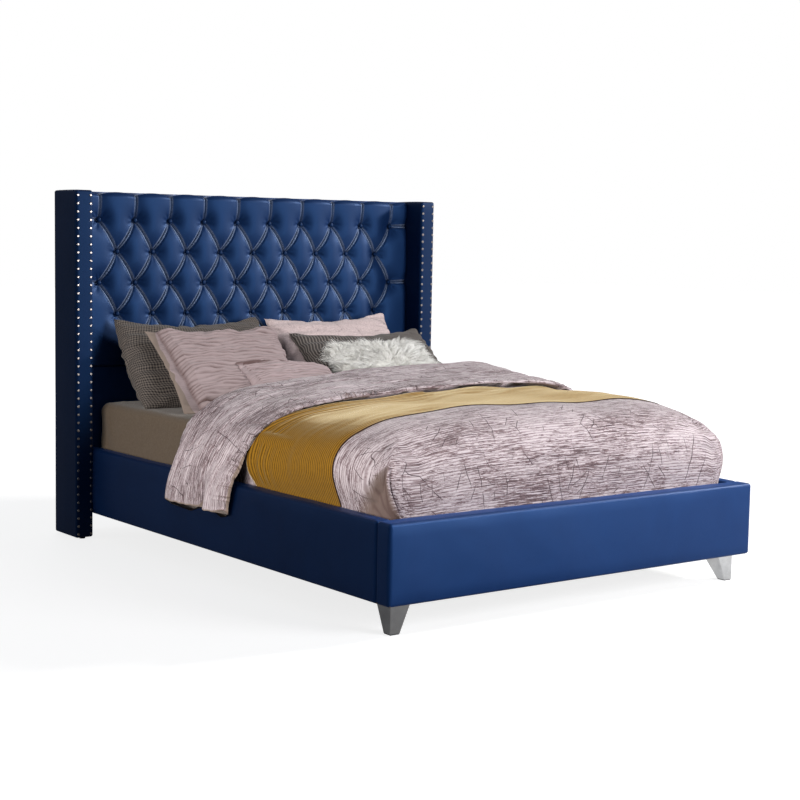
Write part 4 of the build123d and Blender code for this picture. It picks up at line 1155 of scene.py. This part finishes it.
section = lower_face + (upper_face - lower_face) * level[:, None]
on_left = head_row[:, 0] < 0
heights = [0.24, 0.30, 0.40, 0.50, 0.58, 0.66]
near_left = np.interp(head_row[:, 1], heights, [-0.168, -0.185, -0.212, -0.232, -0.225, -0.2095])
near_right = np.interp(head_row[:, 0], [0.35, 0.80], [-0.2095, -0.240])
near_end = np.where(on_left, near_left, near_right)
far_left = np.interp(head_row[:, 1], heights, [0.300, 0.270, 0.225, 0.212, 0.250, 0.318])
far_right = np.interp(head_row[:, 0], [-0.1, 0.3], [0.318, 0.3455])
far_end = np.where(on_left, far_left, far_right)
y = near_end + share * (far_end - near_end)
hang = np.clip((0.46 - head_row[:, 1]) / 0.20, 0, 1) * on_left
lobes = np.cos((share - 0.22) * 2 * math.pi / 0.56)
notch = np.exp(-((share - 0.375) / 0.050) ** 2)
bulge = 0.009 * lobes - 0.020 * notch
bulge += 0.006 * np.sin(share * 23 + 1.0) * np.clip((0.40 - head_row[:, 1]) / 0.12, 0, 1)
bulge *= hang * level
hem_near = np.clip((0.315 - head_row[:, 1]) / 0.055, 0, 1) * on_left
hem_lift = 0.030 * notch + 0.012 * np.exp(-((share - 0.02) / 0.10) ** 2)
hem_lift -= 0.006 * np.exp(-((share - 0.60) / 0.2) ** 2)
z = section[:, 1] + hem_near * hem_lift
along_edge = np.tile(fold_m, fold_rows)
layout = np.stack([along_edge * 0.35, share * fold_width], 1)
soft = 0.0036 * ripple(layout * np.array([1.4, 1.0]), ((0.30, 1.0), (0.14, 0.6)), 41)
soft += 0.0016 * ripple(layout * np.array([0.4, 1.0]), ((0.060, 1.0), (0.030, 0.5)), 42)
uneven = ripple(along_edge[:, None], ((0.11, 1.0), (0.05, 0.6)), 43)
between_puckers = 1 - np.abs(np.sin(along_edge * math.pi / 0.021 + 2.4 * uneven + 1.1 * share))
puckers = 1 - 2 * between_puckers ** 2.2
pucker_reach = 0.10 * (1 + 0.5 * ripple(along_edge[:, None], ((0.07, 1.0),), 44))
gathered = np.exp(-(share / np.maximum(pucker_reach, 0.03)) ** 1.3)
gathered *= np.clip(0.60 + 0.4 * uneven, 0.15, 1) * np.where(head_row[:, 0] < -0.2, 1.25, 0.45)
soft += 0.0070 * puckers * gathered
# Painted shade between the puckers near the edge.
painted_crease_shade = 0.85 * np.clip(1.5 * gathered, 0, 1) * between_puckers ** 2.5 * top_side
soft *= level * top_side
fold_points = np.stack([section[:, 0] - bulge, y, z], 1)
fold_out = surface_normals(fold_points, fold_columns, fold_rows)
fold_points += fold_out * soft[:, None]
on_right = fold_points[:, 0] > 0.60
fold_points[on_right, 2] = np.maximum(fold_points[on_right, 2], rail_top + 0.0015)
laid_under = [surface_tree(piece) for piece in (duvet, throw)]
for number in np.nonzero(~top_side & (np.abs(fold_points[:, 0]) < 0.70) & (share < 0.88))[0]:
    above = Vector((fold_points[number, 0], fold_points[number, 1], 1.0))
    struck = [laid.ray_cast(above, Vector((0, 0, -1)))[0] for laid in laid_under]
    resting_on = max(hit.z for hit in struck if hit is not None)
    pressing = 1 - min(1.0, 2 * level[number])
    fold_points[number, 2] += pressing * (resting_on + 0.001 - fold_points[number, 2])
turned, column, row = cloth_grid("duvet_turned_back", fold_columns, fold_rows)
order = row * fold_columns + column
place_points(turned, fold_points[order])
around = np.repeat(np.concatenate([top_share, 2 - bottom_share[1:]]), fold_columns) * fold_width
lay_out(turned, (along_edge - 1.0)[order], (around + 1.7)[order])
plain = np.where(top_side & (share > 0.012), 0.0, 1.0) * (head_row[:, 1] < 0.50) * on_left
plain = np.maximum(plain, ((head_row[:, 1] < 0.2655) & on_left).astype(float))
mark_points(turned, "lining_and_hollow_shade", plain[order])
mark_points(turned, "painted_crease_shade", painted_crease_shade[order])
turn_outwards(turned, gap=0.0002)
dress(turned, duvet_cotton, "duvet_turned_back")


# ---- Pillows and cushions
# Six filled cases, leaning on the headboard and on each other. Each is sewn flat, then blown
# up as cloth, which draws in its edges and leaves pointed corners, and pressed where it rests.
def sewn_case(name, width, height):
    """A flat case of two faces sewn together, slightly domed, with its layout in metres."""
    step = 0.0125
    bpy.ops.object.select_all(action="DESELECT")
    bpy.ops.mesh.primitive_grid_add(
        x_subdivisions=round(width / step), y_subdivisions=round(height / step), size=1
    )
    case = bpy.context.object
    case.name = name
    bpy.ops.object.mode_set(mode="EDIT")
    bpy.ops.mesh.select_all(action="SELECT")
    bpy.ops.mesh.extrude_region_move(TRANSFORM_OT_translate={"value": (0, 0, 1)})
    bpy.ops.object.mode_set(mode="OBJECT")
    flat = points_of(case)
    across, along = flat[:, 0] * width, flat[:, 1] * height
    side = np.where(flat[:, 2] > 0.5, 1.0, -1.0)
    dome = np.sqrt(np.clip((1 - (2 * flat[:, 0]) ** 4) * (1 - (2 * flat[:, 1]) ** 4), 0, 1))
    place_points(case, np.stack([across, side * (0.002 + 0.05 * dome), along], 1))
    lay_out(case, across, along)
    turn_outwards(case, smooth=False)
    return case


def blow_up(case, pressure, bending, compression, frames):
    """Fills the case with cloth simulation."""
    cloth = case.modifiers.new("filling", "CLOTH")
    cloth.settings.quality = 5
    cloth.settings.mass = 0.3
    cloth.settings.tension_stiffness = 15
    cloth.settings.compression_stiffness = compression
    cloth.settings.shear_stiffness = 5
    cloth.settings.bending_stiffness = bending
    cloth.settings.use_pressure = True
    cloth.settings.uniform_pressure_force = pressure
    cloth.settings.effector_weights.gravity = 0
    cloth.collision_settings.use_collision = False
    cloth.point_cache.frame_start = 1
    cloth.point_cache.frame_end = frames + 1
    for number in range(1, frames + 1):
        bpy.context.scene.frame_set(number)
    bpy.ops.object.modifier_apply(modifier="filling")
    bpy.context.scene.frame_set(1)


def press_against(points, trees, way):
    """Moves points that are inside the pieces behind them out again, the given way."""
    direction, deepest, air = Vector(way), 0.16, 0.0015
    for number, point in enumerate(points):
        start = Vector(point)
        for faces in trees:
            struck, normal, _, distance = faces.ray_cast(start, direction, deepest)
            if struck is not None and normal.dot(direction) > 0:
                points[number] += (distance + air) * way
                start = Vector(points[number])


def draw_in(points, axis, other, half, low_sag, high_sag):
    """Sets how far the seams bow inwards between the corners, on each of two sides."""
    strips = 48
    place = np.clip(points[:, other] / np.abs(points[:, other]).max(), -1, 1)
    strip = np.clip(((place + 1) * strips / 2).astype(int), 0, strips - 1)
    middles = (np.arange(strips) + 0.5) * 2 / strips - 1
    for sign, sag in ((-1, low_sag), (1, high_sag)):
        reach = np.array([(sign * points[strip == number, axis]).max() for number in range(strips)])
        reach[1:-1] = 0.25 * reach[:-2] + 0.5 * reach[1:-1] + 0.25 * reach[2:]
        wanted = half * (1 - sag * (1 - place ** 2))
        side = sign * points[:, axis] > 0
        points[side, axis] *= (wanted / np.interp(place, middles, reach))[side]


def pillow(name, size, depth, foot, lean, finish, behind=(), sags=(0, 0, 0, 0), spread=0.0,
           turn=0.0, detail=1, filling=(2.0, 0.1, 5, 14)):
    """A filled pillow; foot is the middle of its lower seam, and sags are left, right, low, top."""
    width, height = size
    case = sewn_case(name, width, height)
    blow_up(case, *filling)
    swell = case.modifiers.new("smooth", "SUBSURF")
    swell.levels = swell.render_levels = detail
    bpy.ops.object.modifier_apply(modifier="smooth")
    points = points_of(case)
    low, high = points.min(0), points.max(0)
    points = (points - (low + high) / 2) * np.array([width, depth, height]) / (high - low)
    draw_in(points, 2, 0, height / 2, sags[2], sags[3])
    draw_in(points, 0, 2, width / 2, sags[0], sags[1])
    along_z = 2 * points[:, 2] / height
    points[:, 0] *= 1 + spread * (0.5 - 0.5 * along_z)
    points[:, 1] *= 1 - 0.16 * along_z
    points, creases = finish(points, width, height)
    # Painted shade in the case's creases.
    mark_points(case, "painted_crease_shade", creases)
    angle, twist = math.radians(lean), math.radians(turn)
    up = np.array([0, math.sin(angle), math.cos(angle)])
    back = np.array([0, math.cos(angle), -math.sin(angle)])
    wide = np.array([1.0, 0, 0])
    wide, up = (
        wide * math.cos(twist) + up * math.sin(twist), up * math.cos(twist) - wide * math.sin(twist)
    )
    seam_height = 0.5505
    start = np.array([foot[0], mattress_high[1] - foot[1], seam_height])
    above_seam = points[:, 2:3] + height / 2
    points = start + points[:, :1] * wide + points[:, 1:2] * back + above_seam * up
    under = points[:, 2] < bedding_rest
    points[under, 2] = bedding_rest + (points[under, 2] - bedding_rest) * 0.02
    press_against(points, [surface_tree(other) for other in behind], -back)
    before_pad = pad_front - 0.0025
    points[:, 1] = np.minimum(points[:, 1], before_pad)
    place_points(case, points)
    bpy.ops.object.shade_smooth()
    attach(case, "bed")
    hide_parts(name)
    return case


def outward(points, lift):
    """Raises both faces of a flat-lying pillow."""
    points = points.copy()
    points[:, 1] += np.clip(points[:, 1] / 0.014, -1, 1) * lift
    return points


def plain_wrinkles(points, width, height):
    """Slack creases that run across the case, with a few sharper ones, which are painted darker as
    shade.
    """
    face = points[:, [0, 2]]
    toward = np.clip(np.abs(points[:, 0] / width) + np.abs(points[:, 2] / height), 0.3, 1)
    slack = ripple(face * np.array([0.45, 1.5]), ((0.10, 1.0), (0.045, 0.6)), 51)
    across = ripple(face * np.array([0.25, 1.0]), ((0.050, 1.0), (0.11, 0.8)), 55)
    sharp = np.clip(ripple(face, ((0.13, 1.0),), 56) * 0.8 + 0.4, 0, 1)
    sharp *= np.exp(-(across / 0.13) ** 2)
    return outward(points, 0.0042 * slack * toward - 0.0036 * sharp), 0.65 * sharp


def ruching(points, width, height):
    """Rows of gathers that run across the case, wander and merge, and stop at the flange; painted
    shade darkens the valleys and the small cushion's rim, and the flange seam is darkened too.
    """
    face = points[:, [0, 2]]
    wander = 0.0075 * ripple(face * np.array([0.45, 1.0]), ((0.15, 1.0), (0.06, 0.4)), 52)
    phase = (points[:, 2] + wander) * math.pi / 0.0185
    valley = (1 - np.abs(np.sin(phase))) ** 2
    strength = 0.85 + 0.5 * ripple(face * np.array([0.5, 1.6]), ((0.09, 1.0), (0.04, 0.7)), 53)
    from_left = points[:, 0] / width + 0.5
    inside = np.clip((from_left - 0.075) / 0.012, 0, 1) * np.clip((1 - from_left) / 0.02, 0, 1)
    rows = np.clip(strength, 0.25, 1.3) * inside
    slack = 0.0034 * ripple(face * np.array([0.8, 1.0]), ((0.16, 1.0), (0.07, 0.6)), 54)
    to_side = np.minimum(from_left, 1 - from_left) * width
    to_seam = height / 2 - np.abs(points[:, 2])
    if width > 0.5:
        seam, rim = np.exp(-((from_left - 0.078) / 0.006) ** 2), 0.0
        points = points.copy()
        points[:, 1] *= np.clip((from_left - 0.070) / 0.05, 0.07, 1) ** 0.6
    else:
        seam, rim = 0.0, np.exp(-(np.minimum(to_side, to_seam) / 0.009) ** 2)
    creases = np.clip(0.95 * valley * rows + 0.6 * seam + 0.9 * rim, 0, 0.95)
    return outward(points, 0.0062 * (1 - 2 * valley) * rows - 0.004 * seam + slack), creases


soft_fill, firm_fill = (1.5, 0.05, 2, 20), (2, 0.1, 5, 14)
rear_left = pillow(
    "pillow_rear_left", (0.690, 0.478), 0.13, (-0.365, 0.352), 43.6, plain_wrinkles,
    sags=(-0.04, 0.05, 0, 0.24), spread=0.08, filling=soft_fill,
)
rear_right = pillow(
    "pillow_rear_right", (0.660, 0.478), 0.13, (0.352, 0.370), 43.6, plain_wrinkles,
    behind=(rear_left,), sags=(0.05, 0.14, 0, 0.19), turn=1.8, filling=firm_fill,
)
middle_left = pillow(
    "pillow_middle_left", (0.636, 0.487), 0.13, (-0.345, 0.580), 51.3, ruching,
    behind=(rear_left, rear_right), sags=(0.06, 0.20, 0, 0.12), spread=0.09, detail=2,
    filling=soft_fill,
)
middle_right = pillow(
    "pillow_middle_right", (0.700, 0.440), 0.13, (0.414, 0.505), 50, plain_wrinkles,
    behind=(rear_right, middle_left), sags=(0.03, 0.03, 0, 0.23), turn=1.0, filling=firm_fill,
)
front_left = pillow(
    "pillow_front_left", (0.430, 0.325), 0.115, (-0.170, 0.725), 60, ruching,
    behind=(middle_left, middle_right), sags=(0.03, 0.0, 0, -0.03), detail=2, filling=firm_fill,
)
front_right = pillow(
    "pillow_front_right", (0.480, 0.350), 0.11, (0.360, 0.640), 50, plain_wrinkles,
    behind=(middle_right, front_left), filling=firm_fill,
)

# Waffle weave: a small woven check, darker in its cells
matt = {"Sheen_Weight": 0.08, "Sheen_Roughness": 0.5, "Specular_IOR_Level": 0.2}
pale = (0.125, 0.105, 0.092)
waffle = shading("grey_waffle", pale, 0.9, **matt)
tree = waffle.node_tree
layout = add_node(tree, "UVMap", {}).outputs[0]
warp, weft = (bands(tree, layout, 31.0, way, {"Distortion": 0.3}) for way in "XY")
warp, weft = (graded(tree, threads, 0.35, 0.65, 0.0, 0.5) for threads in (warp, weft))
cells = maths(tree, "ADD", warp, weft)
mottle = graded(tree, noise(tree, layout, 40.0, {"Detail": 4.0}), 0.35, 0.7, 0.0, 0.5)
mottled = blend(tree, mottle, pale, tuple(1.3 * c for c in pale))
surface(waffle, blend(tree, cells, mottled, (0.014, 0.012, 0.013)), 0.5, 0.0012, cells)
linen = woven_cloth("pink_linen", (0.38, 0.30, 0.30), (0.56, 0.46, 0.46), 260.0, "UV")


def ruched_cloth(name, pink, beige, flange):
    """Gathered cotton, with finer creases between its rows painted darker as shade, painted shade in
    its marked creases, and a plain flange at the left.
    """
    made = shading(name, pink, 0.9, **matt)
    tree = made.node_tree
    layout = add_node(tree, "UVMap", {}).outputs[0]
    drawn_out = add_node(tree, "Mapping", {"Vector": layout, "Scale": (9.0, 210.0, 1.0)}).outputs[0]
    creases = noise(tree, drawn_out, 1.0, {"Detail": 2.0})
    # Painted shade: the fine creases are darkened streaks.
    finely = graded(tree, creases, 0.55, 0.66, 0.0, 0.35)
    finely = blend(tree, finely, pink, tuple(0.45 * c for c in pink))
    from_left = add_node(tree, "SeparateXYZ", {0: layout}).outputs["X"]
    is_flange = graded(tree, from_left, flange, flange + 0.002, 1.0, 0.0)
    flanged = blend(tree, is_flange, finely, beige)
    creased = blend(tree, marked(tree, "painted_crease_shade"), flanged, (0.085, 0.048, 0.045))
    return surface(made, creased, 0.3, 0.0010, creases)


pink, beige, small_pink = (0.305, 0.240, 0.245), (0.215, 0.168, 0.142), (0.355, 0.280, 0.288)
wide_ruched = ruched_cloth("ruched_pink_cotton", pink, beige, -0.270)
small_ruched = ruched_cloth("ruched_lumbar_cotton", small_pink, small_pink, -0.5)

# Pinstripe: pale lines up a dark cotton
striped = shading("grey_pinstripe", (0.09, 0.08, 0.077), 0.85, **matt)
tree = striped.node_tree
layout = add_node(tree, "UVMap", {}).outputs[0]
lines = graded(tree, bands(tree, layout, 22.0, "X", {"Distortion": 0.2}), 0.55, 0.85)
lined = blend(tree, lines, (0.042, 0.036, 0.035), (0.155, 0.135, 0.123))
surface(striped, lined, 0.4, 0.0010, lines)
for case, cloth, slot in (
    (rear_left, waffle, "waffle_cotton"), (rear_right, linen, "pink_linen"),
    (middle_left, wide_ruched, "ruched_pink"), (front_left, small_ruched, "ruched_pink"),
    (middle_right, striped, "striped_grey"),
):
    case.data.materials.append(cloth)


# ---- Fur of the small front cushion
# Long white pile on a woven back. The hairs lie in tufts that fan out from the middle of the
# cushion, droop a little and taper to fine ends.
def grow_fur(cushion, count, tufts, length, seed):
    """Adds tapered hairs, each of three short runs, all over the cushion, fewer at its back."""
    rng = np.random.default_rng(seed)
    skin = points_of(cushion)
    middle = skin.mean(0)
    cushion.data.calc_loop_triangles()
    corners = np.empty(len(cushion.data.loop_triangles) * 3, dtype=np.int32)
    cushion.data.loop_triangles.foreach_get("vertices", corners)
    a, b, c = (skin[corners.reshape(-1, 3)[:, k]] for k in range(3))
    facing = np.cross(b - a, c - a)
    area = np.linalg.norm(facing, axis=1)
    shown = area * np.where(facing[:, 1] / np.maximum(area, 1e-12) > 0.55, 0.25, 1.0)
    picked = rng.choice(len(area), size=count, p=shown / shown.sum())
    s, t = rng.random((2, count, 1))
    s, t = np.where(s + t > 1, 1 - s, s), np.where(s + t > 1, 1 - t, t)
    roots = a[picked] + s * (b - a)[picked] + t * (c - a)[picked]
    normals = facing[picked] / area[picked][:, None]
    fan = (roots - middle) * np.array([1.0, 0.5, 1.0])
    fan /= np.maximum(np.linalg.norm(fan, axis=1), 1e-6)[:, None]
    sway = np.stack([ripple(roots, ((0.09, 1.0), (0.04, 0.6)), seed + k) for k in (1, 2, 3)], 1)
    comb = 0.95 * fan + 0.45 * sway + np.array([0, -0.1, -0.10])
    comb -= normals * np.sum(comb * normals, 1)[:, None]
    leads = rng.choice(count, size=tufts, replace=False)
    nearest = np.empty(count, dtype=int)
    for first in range(0, count, 1000):
        between = roots[first:first + 1000, None] - roots[leads][None]
        nearest[first:first + 1000] = np.argmin(np.sum(between ** 2, 2), 1)
    lead = leads[nearest]
    own = length * rng.uniform(0.7, 1.15, (count, 1))
    tip = roots + own * (0.42 * normals + 0.85 * comb) + rng.normal(0, 0.0025, (count, 3))
    tuft_tip = roots[lead] + own * (0.42 * normals[lead] + 0.85 * comb[lead])
    tip = tip * 0.42 + tuft_tip * 0.58
    tip[:, 2] = np.maximum(tip[:, 2] - 0.10 * own[:, 0], bedding_rest + 0.0025)
    bend = roots + own * (0.42 * normals + 0.25 * comb)
    lines = []
    for share in (0.0, 0.4, 0.75, 1.0):
        lines.append((1 - share) ** 2 * roots + 2 * share * (1 - share) * bend + share ** 2 * tip)
    side = np.cross(normals, rng.normal(size=(count, 3)))
    side /= np.maximum(np.linalg.norm(side, axis=1), 1e-9)[:, None]
    other = np.cross(normals, side)
    verts = []
    for number, radius in ((0, 0.0008), (1, 0.0008), (2, 0.0005)):
        for turned_by in (0.0, 2.094, 4.189):
            round_it = math.cos(turned_by) * side + math.sin(turned_by) * other
            verts.append(lines[number] + radius * round_it)
    verts.append(lines[3])
    verts = np.stack(verts, 1).reshape(-1, 3)
    faces = []
    for ring in (0, 3):
        for k in range(3):
            after = (k + 1) % 3
            faces.append((ring + k, ring + after, ring + 3 + after, ring + 3 + k))
    faces += [(6 + k, 6 + (k + 1) % 3, 9) for k in range(3)] + [(2, 1, 0)]
    whole = [tuple(10 * hair + corner for corner in face) for hair in range(count) for face in faces]
    mesh = bpy.data.meshes.new("fur")
    mesh.from_pydata(verts.tolist(), [], whole)
    hairs = bpy.data.objects.new("fur", mesh)
    bpy.context.collection.objects.link(hairs)
    mark_points(hairs, "toward_tip", np.tile([0, 0, 0, 0.4, 0.4, 0.4, 0.75, 0.75, 0.75, 1], count))
    pick(cushion, hairs)
    bpy.ops.object.join()
    bpy.ops.object.shade_smooth()


grow_fur(front_right, count=11000, tufts=600, length=0.062, seed=71)
fur_white = (0.80, 0.79, 0.76)
fur = shading(
    "white_faux_fur", fur_white, 0.7, Sheen_Weight=0.15, Sheen_Roughness=0.4, Specular_IOR_Level=0.3
)
tree = fur.node_tree
to_tip = graded(tree, marked(tree, "toward_tip"), 0.0, 0.9)
tufted = noise(tree, add_node(tree, "TexCoord", {}).outputs["Object"], 24.0, {"Detail": 3.0})
# Painted shade: each hair is greyer towards its root, where the pile shades it.
root_shade = blend(tree, to_tip, (0.74, 0.73, 0.70), (0.96, 0.96, 0.94))
tuft_shade = blend(tree, graded(tree, tufted, 0.4, 0.7, 0.0, 0.35), root_shade, fur_white)
surface(fur, tuft_shade, 0.2, 0.001, tufted)
front_right.data.materials.append(fur)

# The lamp on the left lights the bedding alone, as behind a screen that shades the velvet
bedding = bpy.data.collections.new("lit_from_the_left")
for piece in (
    fitted, duvet, turned, throw, rear_left, rear_right, middle_left, middle_right, front_left,
    front_right,
):
    bedding.objects.link(piece)
bpy.data.objects["left_lamp"].light_linking.receiver_collection = bedding


# ---- Dust cloth on the back of the headboard, and the tapes under the slats
# Thin black cloth, stapled round the edge of the headboard frame, and woven tapes that keep
# the slats evenly apart.
back_columns, back_rows, back_y, back_top = 120, 94, 1.1192, 1.416
back_cloth, column, row = cloth_grid("headboard_back_cover", back_columns, back_rows)
flat_x = np.linspace(-pad_half_width, pad_half_width, back_columns)[column]
flat_z = np.linspace(rail_bottom, back_top, back_rows)[row]
slack = np.clip(1 - (np.abs(flat_x) / 0.83) ** 4, 0, 1)
slack *= np.clip(1 - (np.abs(flat_z - 0.759) / 0.65) ** 4, 0, 1)
pull = ripple(np.stack([flat_x, flat_z], 1), ((0.45, 1.0), (0.2, 0.4)), 61)
place_points(back_cloth, np.stack([flat_x, back_y + 0.0006 * pull * slack, flat_z], 1))
thicken(back_cloth, 0.0008)
turn_outwards(back_cloth)
dust_cloth = woven_cloth(
    "black_dust_cloth", (0.012, 0.012, 0.013), (0.022, 0.022, 0.024), 500.0, "Object"
)
dress(back_cloth, dust_cloth, "headboard_back_cover")

tape_columns, tape_rows, tape_width, tape_height, tape_out = 3, 160, 0.025, 0.2812, 0.35
tape, column, row = cloth_grid("tape", tape_columns, tape_rows)
tape_x = np.linspace(-tape_width / 2, tape_width / 2, tape_columns)[column]
tape_y = np.linspace(-1.0025, 0.9865, tape_rows)[row]
tape_strip = np.stack([tape_x, tape_y, tape_height - 0.0006 * np.sin(tape_y * 40) ** 2], 1)
tapes = repeated(tape, "slat_tapes", tape_strip, [(-tape_out, 0, 0), (tape_out, 0, 0)])
thicken(tapes, 0.0010)
turn_outwards(tapes, smooth=False)
dress(tapes, dust_cloth, "slat_tapes")
